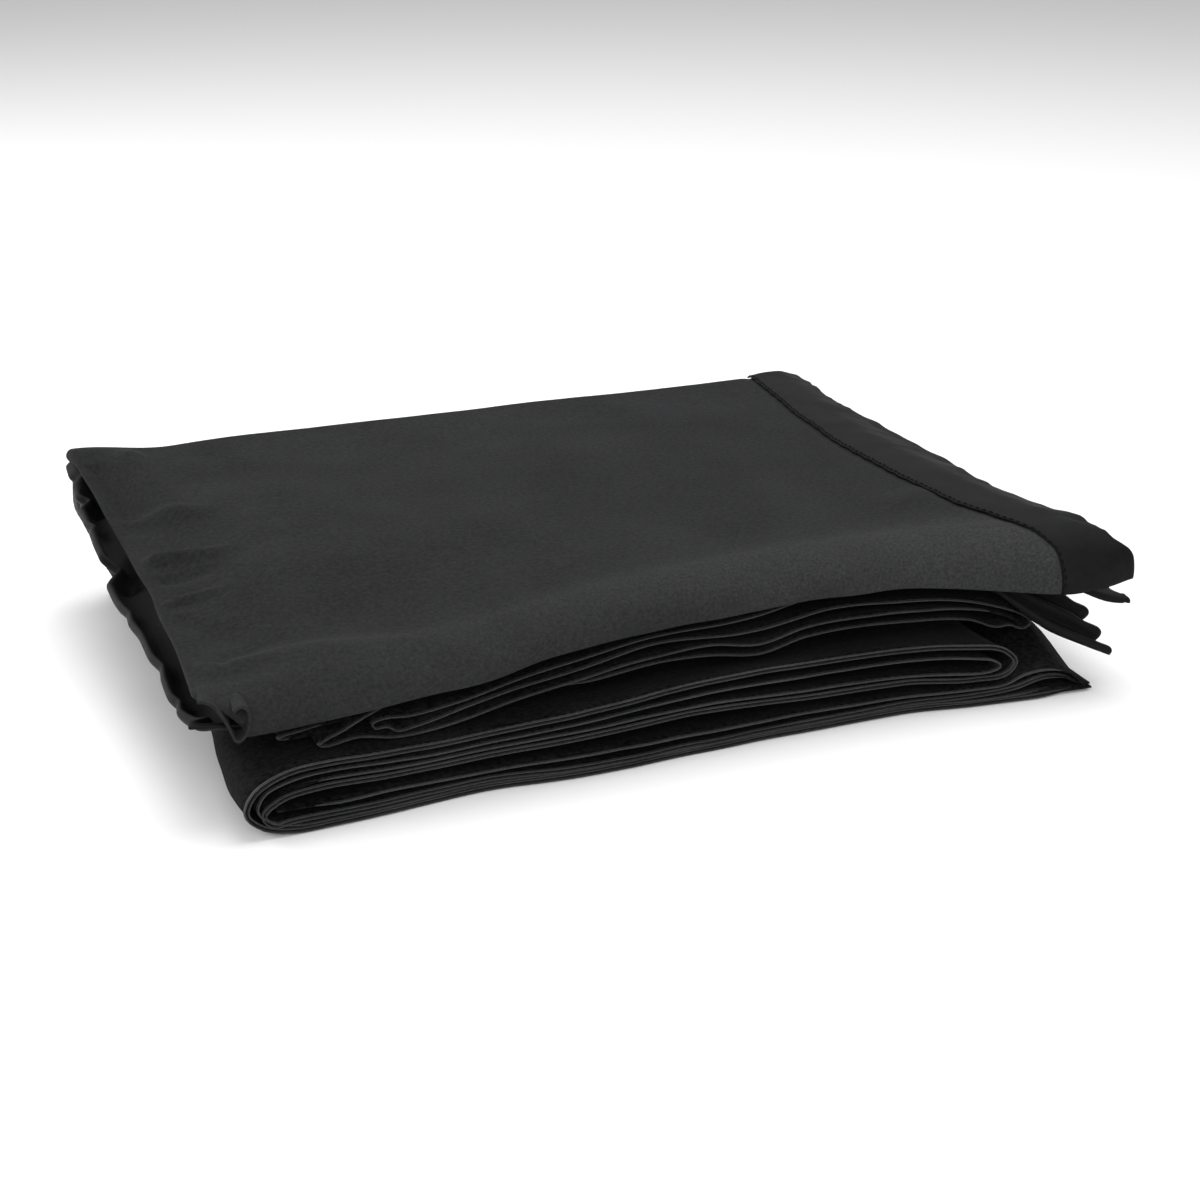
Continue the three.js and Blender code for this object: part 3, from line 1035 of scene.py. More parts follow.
class UpperHalf:
    """The plies between the neck band and the cover."""

    def __init__(self, wardrobe: Wardrobe) -> None:
        """Keep the finishes.

        Args:
            wardrobe: The cape's finishes.
        """
        self.wardrobe = wardrobe

    def build(self) -> None:
        """Lay the plies from the lowest up."""
        outer = Ply(
            "upper_outer_cloth",
            [(-112, 46), (-122, 43.5), (-134, 39), (-143, 33.5), (-150.5, 29.6), (-152.6, 27.4),
             (-149.5, 26.6), (-138, 28.8), (-122, 25.8), (-104, 26.8), (-71, 31.8), (-51, 34.4),
             (-12, 38.2), (9, 39), (31, 36.2), (52, 40.2), (74, 41), (100, 40), (124, 37.4),
             (141, 32.6), (150, 28.2)],
            True, ("upper_outer_ply",), ("upper_outer_hem",), seed=5.2,
        )
        outer.build(self.wardrobe.shadow_matte, self.wardrobe.hem, ["lower_outer_cloth", "neck_band_cloth"])
        turned = Ply(
            "upper_turned_edge",
            [(-136, 37.5), (-148, 36), (-158, 35.4), (-165, 34.4), (-167, 33), (-164, 31.8),
             (-156, 31.4), (-148, 32.4)],
            True, ("upper_outer_ply",), ("upper_outer_hem",), seed=15.2, cloth=0.6, hem_height=0.9,
            front_shift=3.0,
        )
        turned.build(self.wardrobe.shadow_matte, self.wardrobe.hem, ["lower_outer_cloth"])
        hook = Ply(
            "upper_middle_cloth",
            [(150, 46.5), (141, 48.5), (123, 50), (95, 51.2), (66, 52.6), (49, 51.6), (30, 48), (-20, 46),
             (-40, 44), (-73, 40.8), (-100, 36.6), (-117, 35), (-127.5, 35.8), (-131.6, 34.2),
             (-130.8, 31.6), (-126, 31.4), (-122, 28.4), (-115, 29), (-94, 33.6), (-71, 36.8),
             (-43, 39.4), (-18, 43), (30, 41.8), (62, 46), (93, 44.6), (123, 41), (144, 34.4),
             (153, 30), (156.4, 26.6), (153, 24.6), (146, 27), (140, 27), (127, 32), (98, 35.6),
             (52, 36), (31, 31.8), (9, 34.6), (-13, 35.2), (-43, 33), (-66, 33.2)],
            True, ("upper_middle_ply",), ("upper_middle_hem",), seed=6.8, front_shift=0.6, cloth=0.6,
            hem_height=0.85,
        )
        hook.build(self.wardrobe.shadow_matte, self.wardrobe.hem, ["upper_outer_cloth"])
        filler = Ply(
            "upper_lining_cloth",
            [(60, 52.9), (30, 50.6), (-20, 49), (-73, 45.2), (-100, 43), (-120, 42), (-128, 40.6),
             (-120, 39.2), (-100, 40), (-73, 43), (-20, 47.4), (24, 49.2)],
            True, ("upper_middle_ply",), (), seed=7.4, front_shift=16.0, cloth=0.6, rows=34, hemmed=False,
        )
        filler.build(self.wardrobe.shadow_matte, self.wardrobe.hem, ["upper_middle_cloth"])
        third = Ply(
            "upper_inner_cloth",
            [(150, 51.5), (100, 53.6), (0, 52.5), (-80, 49.5), (-150, 47), (-168, 48.4), (-175, 54.5),
             (-168, 61.5), (-150, 63.4), (-60, 64), (60, 64.2), (150, 64)],
            True, ("upper_inner_ply",), ("upper_inner_hem",), seed=8.3, front_shift=8.0, rows=36,
        )
        third.build(self.wardrobe.shadow_matte, self.wardrobe.hem, ["upper_middle_cloth"])
        panel = Ply(
            "second_panel_cloth",
            [(132, 66.6), (60, 66.6), (-60, 66.4), (-150, 65.8), (-168, 65), (-178, 62), (-181.5, 58),
             (-178, 54.5), (-170, 53.4)],
            True, ("second_panel",), (), seed=11.4, front_shift=12.0, rows=36, hemmed=False,
        )
        panel.build(self.wardrobe.matte, self.wardrobe.hem, ["upper_inner_cloth"])
        core = Ply(
            "upper_core_cloth",
            [(149, 55), (60, 55.8), (-80, 53), (-148, 51.2), (-163, 52.2), (-168, 55), (-163, 58),
             (-148, 59), (-60, 60), (149, 60.5)],
            True, ("upper_core_fold",), ("upper_core_hem",), seed=9.9, front_shift=9.0, rows=36,
        )
        core.build(self.wardrobe.shadow_matte, self.wardrobe.hem, ["upper_inner_cloth"])


# ------------------------------------------------------------------ the cover


@dataclass
class Cover:
    """The top panel, its front flap, the wide side hem and its stitching. Sizes in millimetres."""

    wardrobe: Wardrobe
    cloth: float = 0.9
    hem_cloth: float = 0.7
    hem_puff: float = 1.1
    panel_flat: Station = (343.0, 279.0)
    hem_flat: Station = (46.0, 299.0)
    columns: int = 150
    rows: int = 150
    top_share: float = 0.86
    turned_share: float = 0.13
    hem_top_share: float = 0.62
    hem_turned: float = 16.0
    flap_start: float = 0.84
    flap_run: float = 0.1
    raised_lift: float = 2.2
    sunk_lift: float = 1.4
    creases: tuple[tuple[float, ...], ...] = (
        (-188, 14, -148, -14, 2.2, 3.4),
        (-186, -8, -152, -26, -1.7, 5.5),
        (-190, -34, -158, -44, 1.3, 3.2),
        (-185, -52, -172, -98, -1.6, 6.0),
        (-192, -96, -176, -118, 1.2, 3.5),
        (-168, 150, -158, 0, 2.6, 8.0),
        (-183, 116, -174, 24, -2.4, 5.5),
        (-128, 150, -132, 20, -1.6, 9.0),
        (-178, -108, -90, -128, 1.1, 6.0),
        (-186, 60, -140, 30, 0.9, 5.0),
        (146, -60, 100, -84, 0.8, 9.0),
    )
    seam: Line = field(
        default_factory=lambda: Line(
            [(-145, 161), (-128, 158), (-108, 149), (-82, 139.5), (0, 135), (60, 139.5), (127, 149.5),
             (140, 151)]
        )
    )
    outer: Line = field(
        default_factory=lambda: Line(
            [(-145, 194), (-136, 192), (-126, 186), (-68, 172.5), (9, 167), (60, 168), (112, 174.5),
             (140, 177)]
        )
    )
    ridge: Line = field(
        default_factory=lambda: Line(
            [(-200, -124), (-114, -124), (-36, -119), (54, -111), (140, -113), (165, -126), (192, -136)]
        )
    )
    flap_depth: Line = field(
        default_factory=lambda: Line(
            [(-195, -131), (-120, -136), (-50, -131), (20, -127), (110, -127), (150, -134), (192, -141)]
        )
    )
    flap_end: Line = field(
        default_factory=lambda: Line(
            [(-195, 37), (-166, 37.5), (-126, 42), (-85, 44.5), (-61, 49), (-29, 51.5), (30, 53),
             (68, 53.5), (101, 52), (141, 46), (164, 44), (192, 48)]
        )
    )

    def profile(self, x: float, deep: float) -> tuple[float, float]:
        """A point of the cover's line from the back edge, over the top and down the flap.

        Args:
            x: Which line, by its place along the pile.
            deep: Share of the line, 0 at the back edge and 1 at the flap's end.

        Returns:
            Depth y and height z.
        """
        ridge = self.ridge.at(x)
        back = PILE.upper_back + 1.5
        if deep < self.top_share:
            y = mix(back, ridge + 6.0, deep / self.top_share)
            height = PILE.cover_top(x, y)
            height -= 1.6 * smooth((y - back + 6.0) / 6.0)
            height -= 1.1 * smooth((ridge + 20.0 - y) / 14.0)
            return y, height
        share = (deep - self.top_share) / (1.0 - self.top_share)
        start_y = ridge + 6.0
        start_z = PILE.cover_top(x, start_y) - 1.1
        end_y, end_z = self.flap_depth.at(x), self.flap_end.at(x)
        lean = 1.0 - (1.0 - share) ** 2.2
        y = mix(start_y, end_y, lean)
        z = mix(start_z, end_z, share**1.35)
        y -= 2.2 * math.sin(math.pi * share) * (0.6 + 0.5 * ripple(x, 0.0, 48.0, 12.5))
        y -= (1.0 + 2.0 * share) * math.sin(math.pi * min(share, 0.75)) * ripple(x, 0.3 * z, 24.0, 4.4)
        return y, z

    def hanging(self, deep: float) -> float:
        """How far a line of the cover has turned from the top down into the flap.

        Args:
            deep: Share of the cover's line.

        Returns:
            0 on the top, 1 down the flap.
        """
        return smooth((deep - self.flap_start) / self.flap_run)

    def seam_at(self, deep: float) -> tuple[float, float]:
        """Where the seam of the wide hem crosses a line of the cover.

        Args:
            deep: Share of the cover's line.

        Returns:
            The seam's x, and the depth y there.
        """
        x = 150.0
        for _ in range(6):
            x = self.seam.at(self.profile(x, deep)[0])
        return x, self.profile(x, deep)[0]

    def crease(self, x: float, y: float) -> float:
        """Height of the creases that run in from the left fold, and of a few broad swells.

        Args:
            x: Place along the pile.
            y: Depth.

        Returns:
            The height, in millimetres.
        """
        height = 0.8 * ripple(x * 0.5, y, 22.0, 21.0) * smooth((-90.0 - x) / 60.0)
        for x0, y0, x1, y1, lift, width in self.creases:
            run = max(math.hypot(x1 - x0, y1 - y0), 1e-6)
            along = ((x - x0) * (x1 - x0) + (y - y0) * (y1 - y0)) / run
            aside = ((x - x0) * (y1 - y0) - (y - y0) * (x1 - x0)) / run
            fade = smooth(along / 8.0 + 0.6) * smooth((run - along) / (0.6 * run))
            spread = width * (0.7 + 0.6 * max(along, 0.0) / run)
            lift *= self.raised_lift if lift > 0.0 else self.sunk_lift
            fade *= smooth((137.0 - y) / 26.0) * smooth((143.0 - x) / 14.0)
            height += lift * fade * math.exp(-((aside / spread) ** 2))
        return height

    def panel_spot(self, across: float, deep: float) -> Vector:
        """A point of the top panel, from its turned-under left edge to the seam.

        Args:
            across: 0 at the edge under the left fold, 1 under the wide hem.
            deep: 0 at the back edge, 1 at the flap's end.

        Returns:
            The point, in millimetres.
        """
        turned = self.turned_share
        probe_y = self.profile(-150.0, deep)[0]
        flap = self.hanging(deep)
        hang = smooth((deep - 0.86) / 0.14)
        left = PILE.left_edge.at(probe_y) + 1.0 * ripple(probe_y, 4.0, 34.0, 31.0) + 17.0 * hang**0.7
        radius = 1.1 + 0.3 * ripple(probe_y, 1.0, 30.0, 17.0) + 1.6 * smooth((probe_y - 118.0) / 14.0)
        start = left + radius
        x = start
        if across >= turned:
            seam = self.seam_at(deep)[0] + 3.5
            x = mix(start, seam, (across - turned) / (1.0 - turned))
        y, z = self.profile(x, deep)
        z += self.crease(x, y) * (1.0 - 0.8 * flap) * smooth((x - start) / 7.0)
        if across >= turned:
            gap = abs(x - self.seam_at(deep)[0])
            z -= 0.9 * math.exp(-((gap / 1.8) ** 2)) * (1.0 - flap)
            return Vector((x, y, z))
        angle = (1.0 - across / turned) * math.radians(200.0)
        out = radius * math.sin(angle)
        down = radius * (1.0 - math.cos(angle))
        return Vector((x - out, y + down * flap, z - down * (1.0 - flap)))

    def nap_and_sheen_share(self, across: float, deep: float) -> float:
        """How much lighter colour the panel takes: painted sheen along the flap, most at the right where it
        is more lit, and raised nap in patches.

        Args:
            across: 0 at the left fold, 1 at the wide hem.
            deep: 0 at the back edge, 1 at the flap's end.

        Returns:
            The share of lighter colour, from 0 to 1.
        """
        flap = smooth((deep - 0.79) / 0.09)
        patches = 0.5 + 0.5 * ripple(across * 375.0, deep * 310.0, 26.0, 91.0)
        return min(flap * (0.18 + 0.62 * across**1.5 + 0.25 * patches) + 0.08 * patches, 1.0)

    def panel(self) -> bpy.types.Object:
        """Lay the top panel, with its flap and the fold at its left edge.

        Returns:
            The panel.
        """
        bm = laid_grid(self.columns, self.rows, self.panel_spot, self.panel_flat, self.nap_and_sheen_share)
        piece = finish_mesh("top_panel_cloth", bm, self.wardrobe.matte, Body.UPPER)
        thicken(piece, self.cloth)
        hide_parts("top_panel")
        return piece

    def hem_spot(self, across: float, deep: float) -> Vector:
        """A point of the wide hem, from the seam over to the outer edge and back under.

        Args:
            across: 0 at the seam, 1 at the edge turned under.
            deep: 0 at the back edge, 1 at the flap's end.

        Returns:
            The point, in millimetres.
        """
        top = self.hem_top_share
        share = min(across / top, 1.0)
        seam, guess = self.seam_at(deep)
        seam += 0.3 * math.sin(guess * math.tau / 10.2) + 1.1 * ripple(guess, 7.0, 34.0, 48.0)
        nub = 2.2 * ripple(guess, 6.0, 15.0, 44.0) + 1.2 * ripple(guess, 1.0, 6.5, 46.0)
        edge = self.outer.at(guess) + nub
        under = max(across - top, 0.0) / (1.0 - top)
        x = edge - self.hem_turned * under if under > 0.0 else mix(seam, edge, share)
        y, z = self.profile(x, deep)
        flap = self.hanging(deep)
        droop = 2.0 * (1.0 + 0.8 * ripple(guess, 2.0, 22.0, 63.0))
        if under > 0.0:
            puff = 0.8 - 3.2 * smooth(under * 3.0)
        else:
            puff = self.hem_puff * math.sin(math.pi * share) ** 0.6
            puff += 0.8 + 0.5 * ripple(x, guess, 16.0, 51.0) * math.sin(math.pi * share)
            droop *= smooth((share - 0.55) / 0.45)
        lift = puff - droop
        return Vector((x, y - lift * flap, z + lift * (1.0 - flap)))

    def wide_hem(self) -> bpy.types.Object:
        """Lay the wide satin hem along the right side.

        Returns:
            The hem.
        """
        bm = laid_grid(30, 170, self.hem_spot, self.hem_flat)
        piece = finish_mesh("wide_hem_cloth", bm, self.wardrobe.satin, Body.UPPER)
        thicken(piece, self.hem_cloth)
        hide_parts("wide_side_hem")
        return piece

    def stitches(self) -> bpy.types.Object:
        """Sew the row of stitches along the wide hem's seam.

        Returns:
            The row.
        """
        places = []
        steps = 1200
        path = []
        for index in range(steps + 1):
            deep = index / steps
            flap = self.hanging(deep)
            path.append(self.hem_spot(0.02, deep) + Vector((0.0, -0.45 * flap, 0.45 * (1.0 - flap))))
        travelled, mark, start = 0.0, 0.0, None
        for before, after in zip(path, path[1:]):
            travelled += (after - before).length
            if start is None and travelled >= mark:
                start = after
            if start is not None and travelled >= mark + Stitches.pitch * 0.68:
                places.append((start, after))
                start = None
                mark += Stitches.pitch
        piece = Stitches(self.wardrobe).sew("wide_hem_stitches", places, Body.UPPER)
        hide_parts("wide_hem_thread")
        return piece

    def build(self) -> None:
        """Make the cover's pieces."""
        panel = self.panel()
        hem = self.wide_hem()
        stitches = self.stitches()
        metres(self.panel_flat)
        metres(self.hem_flat)
        LOG.info("cover: top panel, wide hem and its stitches")


# ------------------------------------------------------------------ left fold


@dataclass
class Spine:
    """The fold at the left that joins the two halves.

    Sizes in millimetres, apart from bend_start and bend_end. Those are in metres: the places between which
    the fold would change over from the lower half's movement to the upper half's, kept here but not used.
    """

    wardrobe: Wardrobe
    cloth: float = 0.8
    curl_cloth: float = 1.0
    front: float = -133.0
    back: float = 135.0
    flat: Station = (102.0, 268.0)
    bend_start: Triple = (-0.180, 0.0, 0.028)
    bend_end: Triple = (-0.180, 0.0, 0.046)
    belly: Line = field(
        default_factory=lambda: Line(
            [(-133, -200), (-126, -198.5), (-117, -194), (-100, -197), (-50, -196), (25, -196.5),
             (60, -195), (95, -193), (135, -190)]
        )
    )
    belly_height: Line = field(
        default_factory=lambda: Line(
            [(-133, 42.5), (-124, 39), (-100, 36.5), (-50, 40.5), (20, 43.5), (29, 46), (40, 52.5),
             (92, 55), (112, 59), (135, 63)]
        )
    )
    foot: Line = field(
        default_factory=lambda: Line([(-133, 33), (-120, 31), (-60, 29.5), (0, 29), (135, 31)])
    )
    notches: tuple[Triple, ...] = (
        (120, 3.0, 5.0), (99, 5.0, 6.0), (70, 1.8, 7.0), (31, 6.0, 7.0), (-8, 1.2, 9.0), (-62, 1.6, 10.0),
        (-93, 1.8, 7.0), (-117, 3.0, 5.0),
    )

    def gather(self, y: float) -> float:
        """How far the fold is drawn in at a few sharp gathers.

        Args:
            y: Depth.

        Returns:
            The distance, in millimetres.
        """
        drawn = 0.0
        for middle, depth, width in self.notches:
            drawn += depth * max(1.0 - abs(y - middle) / width, 0.0) ** 1.3
        return drawn

    def spot(self, along: float, y: float) -> Vector:
        """A point of the fold.

        Args:
            along: 0 at its upper end inside the pile, 1 at its foot on the lower half.
            y: Depth.

        Returns:
            The point, in millimetres.
        """
        drawn = self.gather(y)
        middle = self.belly_height.at(y) - 0.5
        out = self.belly.at(y) + drawn + 0.6 * ripple(y, 0.0, 20.0, 71.0)
        foot = self.foot.at(y)
        valley = mix(max(middle - 3.5, foot + 2.5), middle + 2.5, smooth((y - 98.0) / 22.0))
        line = spline(
            [(-156, middle + 7.5), (-167, middle + 6), (-176, middle + 1.5), (out + 7.5, valley),
             (out + 3.8, valley + 0.8), (out + 1.3, middle + 1.5), (out, middle - 0.3),
             (out + 2.2, middle - 3.5), (-187, mix(middle, foot, 0.7)), (-176, foot),
             (-160, 28.2), (-148, 26.4)],
            6,
        )
        place = along * (len(line) - 1)
        index = min(int(place), len(line) - 2)
        share = place - index
        x = mix(line[index][0], line[index + 1][0], share)
        z = mix(line[index][1], line[index + 1][1], share)
        pocket = 0.6 * self.gather(y + 6.0) * math.exp(-(((along - 0.3) / 0.1) ** 2))
        closed = 0.95 * smooth((-110.0 - y) / 22.0)
        beak = mix(43.5, 40.5, smooth((x + 200.0) / 26.0))
        z = mix(z, beak, closed) + 0.35 * ripple(x, y, 22.0, 75.0)
        under = PILE.cover_top(max(x, PILE.left_edge.at(y) + 4.0), y) - 3.2
        return Vector((x + 0.7 * pocket, y, min(z - pocket, under)))

    def build(self) -> None:
        """Lay the fold, attached to neither half, and roll the cover's front-left corner."""

        def place(along: float, deep: float) -> Vector:
            """Place one point, from its shares along the fold and from front to back."""
            return self.spot(along, mix(self.front, self.back, deep))

        bm = laid_grid(60, 170, place, self.flat)
        piece = finish_mesh("spine_fold_cloth", bm, self.wardrobe.satin, None)
        thicken(piece, self.cloth)
        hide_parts("spine_fold")
        metres(self.flat)
        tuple(self.bend_start)
        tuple(self.bend_end)
        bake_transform(piece)
        self.curl()
        LOG.info("spine fold between the halves")

    def curl(self) -> None:
        """Roll the cover's front-left corner into a small open tube."""
        line = FoldLine(
            [(-195.5, 50.6), (-193, 50.4), (-189.8, 48.4), (-187.4, 44.9), (-186, 41.4), (-184.2, 37.8),
             (-182.2, 38.8), (-180, 42.4), (-179.4, 46.2), (-180.8, 49.4), (-183, 50.2), (-184.8, 48.6)]
        )

        def place(along: float, deep: float) -> Vector:
            """Place one point of the cloth.

            Args:
                along: Share of its width.
                deep: Share of its depth.

            Returns:
                The point, in millimetres.
            """
            x, z = line.at(along * line.length)
            mouth = mix(-129.0, -138.0, smooth(along * 1.8))
            y = mix(mouth, -108.0, deep) + 1.0 * ripple(along * 40.0, 0.0, 9.0, 88.0) * (1.0 - deep)
            flare = 1.0 + 0.06 * (1.0 - deep) ** 3
            x = -182.0 + (x + 182.0) * flare + 0.5 * ripple(x * 3.0, y, 9.0, 89.0)
            return Vector((x + 4.0 * deep, y, 42.0 + (z - 42.0) * flare + 0.5 * deep))

        # A fixed share of the lighter colour: painted sheen and raised nap, as on the flap.
        bm = laid_grid(70, 24, place, (line.length, 30.0), lambda along, deep: 0.35)
        piece = finish_mesh("corner_curl_cloth", bm, self.wardrobe.matte, Body.UPPER)
        thicken(piece, self.curl_cloth)
        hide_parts("top_panel")


# ------------------------------------------------------------------ tails at the right


@dataclass
class Tail:
    """One ply's wide hem, which fans out and droops at the right. Sizes in millimetres.

    low and top are the lower and upper edge of the part that shows at the front, as heights along the
    pile. end_low and end_top are how far those edges reach.
    """

    name: str
    node: str
    start: float
    end_low: float
    end_top: float
    low: Line
    top: Line
    back: Line
    front: Line
    ridges: float
    ridge_height: float
    seed: float
    cloth: float = 0.7

    def spot(self, along: float, deep: float) -> Vector:
        """A point of the tail.

        Args:
            along: 0 inside the pile, 1 at the drooping end.
            deep: 0 at the edge turned under at the front, 1 at the back.

        Returns:
            The point, in millimetres.
        """
        face = min(max((deep - 0.1) / 0.45, 0.0), 1.0)
        reach = mix(self.end_low, self.end_top, face)
        nubs = 1.2 * ripple(face * 9.0, 4.0, 2.0, self.seed)
        reach += 1.4 * math.sin(face * self.ridges * math.tau + 0.6) + nubs
        x = mix(self.start, reach, along)
        low, top, front = self.low.at(x), self.top.at(x), self.front.at(x)
        if deep < 0.1:
            under = 1.0 - deep / 0.1
            return Vector((x, front + 9.0 * under, low + 2.0 * math.sin(math.pi * under)))
        if deep < 0.55:
            swell = math.sin(face * self.ridges * math.tau) * self.ridge_height * smooth(along * 1.6)
            swell += 0.7 * ripple(x, face * 30.0, 9.0, self.seed)
            y = front + 24.0 * face**1.2
            return Vector((x, y - swell * 0.8, mix(low, top, face) + swell * 0.6))
        share = (deep - 0.55) / 0.45
        y = mix(front + 24.0, 126.0, share)
        height = mix(top, self.back.at(x), smooth(share * 2.0))
        return Vector((x + 1.5 * ripple(y, 1.0, 16.0, self.seed) * along, y, height))

    def build(self, wardrobe: Wardrobe) -> None:
        """Lay the tail.

        Args:
            wardrobe: The cape's finishes.
        """
        bm = laid_grid(44, 150, self.spot, (self.end_low - self.start, 290.0))
        area = sum(face.calc_area() for face in bm.faces)
        piece = finish_mesh(self.name, bm, wardrobe.satin, Body.UPPER)
        thicken(piece, self.cloth)
        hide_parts(self.node)
        LOG.info("%s laid", self.name)


class Tails:
    """The ends of the two plies below the cover, at the right."""

    def __init__(self, wardrobe: Wardrobe) -> None:
        """Keep the finishes.

        Args:
            wardrobe: The cape's finishes.
        """
        self.wardrobe = wardrobe

    def build(self) -> None:
        """Lay the two ends."""
        Tail(
            "third_hem_cloth", "third_side_hem", 122.0, 184.5, 183.5,
            low=Line([(118, 50), (136, 44), (157, 27.5), (171, 20.5), (186, 13.5)]),
            top=Line([(118, 55), (136, 53), (157, 46), (171, 38), (180, 31), (186, 28)]),
            back=Line([(118, 58), (150, 57), (170, 53), (186, 47)]),
            front=Line([(122, -112), (138, -120), (157, -130), (171, -135), (186, -137)]),
            ridges=2.6, ridge_height=2.5, seed=81.0,
        ).build(self.wardrobe)
        Tail(
            "second_hem_cloth", "second_side_hem", 124.0, 192.5, 189.5,
            low=Line([(118, 56), (150, 47), (172, 41.5), (184, 37), (196, 35.5)]),
            top=Line([(118, 60), (150, 54), (172, 49), (184, 46), (196, 42.5)]),
            back=Line([(118, 63), (150, 62), (170, 60), (196, 56)]),
            front=Line([(124, -104), (150, -112), (166, -120), (180, -133), (196, -138)]),
            ridges=1.6, ridge_height=1.3, seed=85.0,
        ).build(self.wardrobe)


# ------------------------------------------------------------------ neck band


@dataclass
class NeckBand:
    """The neck band inside the last fold, its studs and its label. Sizes in millimetres."""

    wardrobe: Wardrobe
    band_width: float = 40.0
    lining_width: float = 36.0
    padding: float = 0.5
    label_cloth: float = 0.25

    def strip(self, node: str, puff: float) -> tuple[Place, float, float]:
        """The shape of a flat, softly padded strip round the neck opening.

        Args:
            node: The node it stands for, whose place and size it takes.
            puff: How far its middle swells beyond its edges.

        Returns:
            The function that places its points, its length and its width.
        """
        low, high = (Vector(corner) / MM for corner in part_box(node))
        outer = (high.y - low.y) / 2
        centre = Vector((low.x + outer, (low.y + high.y) / 2, 0.0))
        inner = outer - (self.band_width if puff else self.lining_width)
        opening = math.acos(min((high.x - centre.x) / outer, 1.0))

        def place(along: float, around: float) -> Vector:
            """Place one point of the tube.

            Args:
                along: Share of its length.
                around: Share of its girth.

            Returns:
                The point, in millimetres.
            """
            angle = mix(opening, math.tau - opening, along)
            turn = math.tau * around
            across = math.copysign(abs(math.cos(turn)) ** 0.55, math.cos(turn))
            up = math.copysign(abs(math.sin(turn)) ** 0.7, math.sin(turn))
            radius = mix(inner, outer, 0.5 + 0.5 * across)
            height = (high.z - low.z) / 2 + puff * (1.0 - across**4) * 0.3
            z = (low.z + high.z) / 2 + up * height
            return centre + Vector((radius * math.cos(angle), radius * math.sin(angle), z))

        return place, (math.tau - 2 * opening) * (outer + inner) / 2, outer - inner

    def band(self, name: str, node: str, shader: Shader, puff: float) -> bpy.types.Object:
        """A flat, softly padded strip round the neck opening.

        Args:
            name: The piece's name.
            node: The node it stands for, whose place and size it takes.
            shader: Its finish.
            puff: How far its middle swells beyond its edges.

        Returns:
            The strip.
        """
        place, length, width = self.strip(node, puff)
        bm = laid_tube(220, 20, place, (length, 2 * width))
        piece = finish_mesh(name, bm, shader, Body.LOWER)
        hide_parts(node)
        return piece

    def stitching(self) -> None:
        """Sew a row of stitches along both edges of the band."""
        place, length, _ = self.strip("neck_band", self.padding)
        count = round(length / Stitches.pitch)
        places = []
        for around in (0.118, 0.382):
            for index in range(2, count - 2):
                places.append([place((index + part) / count, around) for part in (0.12, 0.78)])
        piece = Stitches(self.wardrobe).sew("neck_band_stitches", places, Body.LOWER)
        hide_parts("neck_band_thread")

    def label(self) -> None:
        """Lay the blank care label, a little curled at its free end."""
        low, high = (Vector(corner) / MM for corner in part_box("care_label"))
        size = (high.x - low.x, high.y - low.y)

        def place(along: float, deep: float) -> Vector:
            """Place one point of the cloth.

            Args:
                along: Share of its width.
                deep: Share of its depth.

            Returns:
                The point, in millimetres.
            """
            curl = 0.9 * along**3 + 0.12 * math.sin(along * 9.0 + deep * 4.0)
            middle = (low.z + high.z) / 2
            return Vector((mix(low.x, high.x, along), mix(low.y, high.y, deep), middle + curl))

        bm = laid_grid(28, 20, place, size)
        piece = finish_mesh("care_label_cloth", bm, self.wardrobe.label, Body.LOWER)
        thicken(piece, self.label_cloth)
        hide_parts("care_label")

    def fitting(self, node: str, profile: Sequence[Station]) -> None:
        """Turn a press-stud part on its own axis.

        Args:
            node: The node it stands for.
            profile: Radius and height of its outline, as shares of the node's radius and height.
        """
        low, high = (Vector(corner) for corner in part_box(node))
        centre = (low + high) / 2
        radius = (high.x - low.x) / 2
        bm = bmesh.new()
        verts = [bm.verts.new((centre.x + r * radius, centre.y, mix(low.z, high.z, h))) for r, h in profile]
        edges = [bm.edges.new(pair) for pair in zip(verts, verts[1:])]
        bmesh.ops.spin(
            bm, geom=verts + edges, cent=(centre.x, centre.y, 0.0), axis=(0, 0, 1), angle=math.tau,
            steps=32, use_merge=True,
        )
        bmesh.ops.remove_doubles(bm, verts=bm.verts, dist=0.00001)
        bmesh.ops.recalc_face_normals(bm, faces=bm.faces)
        piece = finish_mesh(node + "_turned", bm, self.wardrobe.metal, Body.LOWER)
        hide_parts(node)

    def build(self) -> None:
        """Make the band, its stitching, studs and label."""
        self.band("neck_band_lining_cloth", "neck_band_lining", self.wardrobe.satin, 0.0)
        self.band("neck_band_cloth", "neck_band", self.wardrobe.band, self.padding)
        cap = [(0, 1), (0.94, 1), (1, 0.85), (1, 0.5), (0.9, 0.2), (0.6, 0.05), (0, 0)]
        socket = [(0, 0), (0.96, 0), (1, 0.12), (1, 0.4), (0.86, 0.72), (0.72, 0.95), (0.6, 1),
                  (0.48, 0.95), (0.45, 0.8), (0.45, 0.3), (0, 0.3)]
        stud = [(0, 0), (0.96, 0), (1, 0.06), (1, 0.2), (0.94, 0.26), (0.42, 0.27), (0.3, 0.36),
                (0.33, 0.5), (0.385, 0.7), (0.36, 0.85), (0.25, 0.97), (0, 1)]
        for node in sorted(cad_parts):
            if node.startswith(("socket_cap_", "stud_cap_")):
                self.fitting(node, cap)
            elif node.startswith("stud_socket_"):
                self.fitting(node, socket)
            elif node.startswith("press_stud_"):
                self.fitting(node, stud)
        self.stitching()
        self.label()
        LOG.info("neck band, studs and label")


# ------------------------------------------------------------------ studio


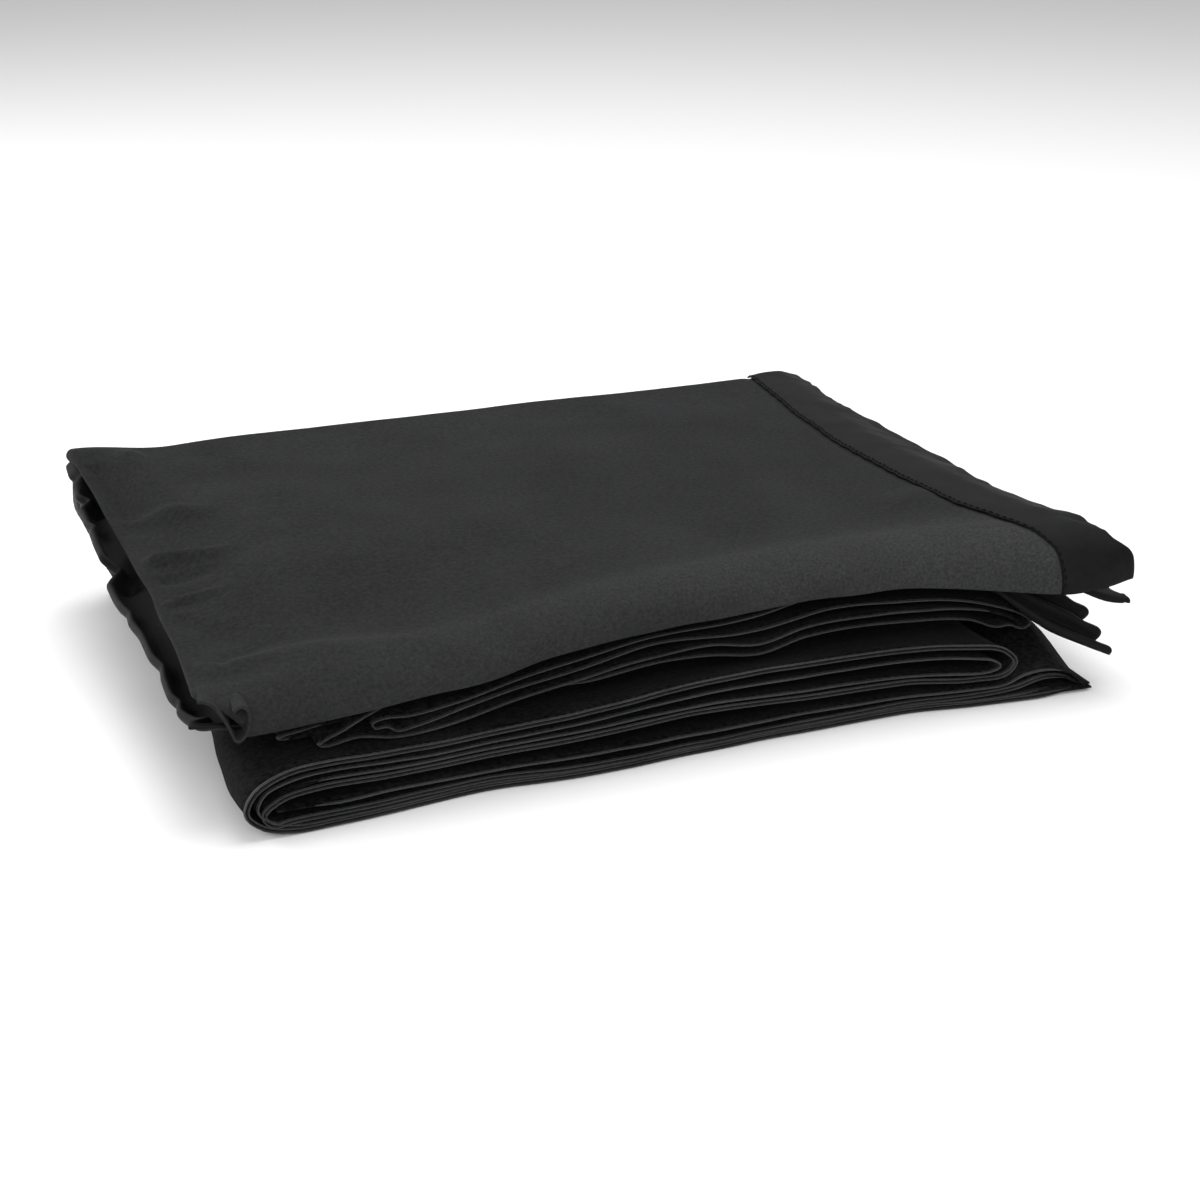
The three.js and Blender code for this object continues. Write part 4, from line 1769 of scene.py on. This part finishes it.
@dataclass(frozen=True)
class Lamp:
    """One soft square light. Sizes in metres, power in watts."""

    name: str
    spot: Triple
    aim: Triple
    size: float
    power: float

    def hang(self) -> None:
        """Hang the light and point it at its aim."""
        data = bpy.data.lights.new(self.name, "AREA")
        data.size = self.size
        data.energy = self.power
        lamp = bpy.data.objects.new(self.name, data)
        bpy.context.scene.collection.objects.link(lamp)
        lamp.location = self.spot
        lamp.rotation_euler = (Vector(self.aim) - Vector(self.spot)).to_track_quat("-Z", "Y").to_euler()


@dataclass
class Studio:
    """Floor, lights and camera. Sizes in metres."""

    camera_spot: Triple = (-0.368, -0.9092, 0.3832)
    camera_ahead: Triple = (0.3624, 0.8641, -0.3493)
    lens: float = 72.0
    floor_half: float = 6.0
    sky: float = 0.45
    lamps: tuple[Lamp, ...] = (
        Lamp("key", spot=(0.3, 0.2, 1.7), aim=(0.0, 0.0, 0.03), size=1.8, power=30.0),
        Lamp("front", spot=(-0.5, -1.5, 0.7), aim=(0.0, 0.0, 0.03), size=1.0, power=14.0),
        Lamp("rim", spot=(-1.2, 1.1, 0.75), aim=(0.0, 0.0, 0.05), size=0.7, power=12.0),
    )

    def build(self) -> None:
        """Set the floor, the lights and the camera."""
        camera_data = bpy.data.cameras.new("camera")
        camera_data.lens = self.lens
        camera = bpy.data.objects.new("camera", camera_data)
        bpy.context.scene.collection.objects.link(camera)
        camera.location = self.camera_spot
        camera.rotation_euler = Vector(self.camera_ahead).to_track_quat("-Z", "Y").to_euler()
        bpy.context.scene.camera = camera

        bm = bmesh.new()
        bmesh.ops.create_grid(bm, x_segments=1, y_segments=1, size=self.floor_half)
        mesh = bpy.data.meshes.new("floor")
        bm.to_mesh(mesh)
        bm.free()
        floor = bpy.data.objects.new("floor", mesh)
        bpy.context.scene.collection.objects.link(floor)
        shader = Shader("floor_paper", "matte_cloth")
        shader.surface.inputs["Base Color"].default_value = (0.9, 0.9, 0.9, 1.0)
        shader.surface.inputs["Roughness"].default_value = 0.9
        mesh.materials.append(shader.material)

        bpy.context.scene.view_settings.view_transform = "Standard"
        world = bpy.data.worlds.new("studio")
        world.use_nodes = True
        world.node_tree.nodes["Background"].inputs["Color"].default_value = (1.0, 1.0, 1.0, 1.0)
        world.node_tree.nodes["Background"].inputs["Strength"].default_value = self.sky
        bpy.context.scene.world = world
        for lamp in self.lamps:
            lamp.hang()


# ------------------------------------------------------------------ build


def warn_of_plain_nodes() -> None:
    """Log any plain solid that is left showing."""
    left = [name for name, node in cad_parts.items() if not node.hide_render]
    if left:
        LOG.warning("still showing: %s", ", ".join(sorted(left)))


def main() -> None:
    """Build the folded cape."""
    logging.basicConfig(level=logging.INFO, format="%(name)s: %(message)s")
    Studio().build()
    wardrobe = Wardrobe()
    LowerHalf(wardrobe).build()
    NeckBand(wardrobe).build()
    UpperHalf(wardrobe).build()
    Cover(wardrobe).build()
    Spine(wardrobe).build()
    Tails(wardrobe).build()
    warn_of_plain_nodes()


if __name__ == "__main__":
    main()
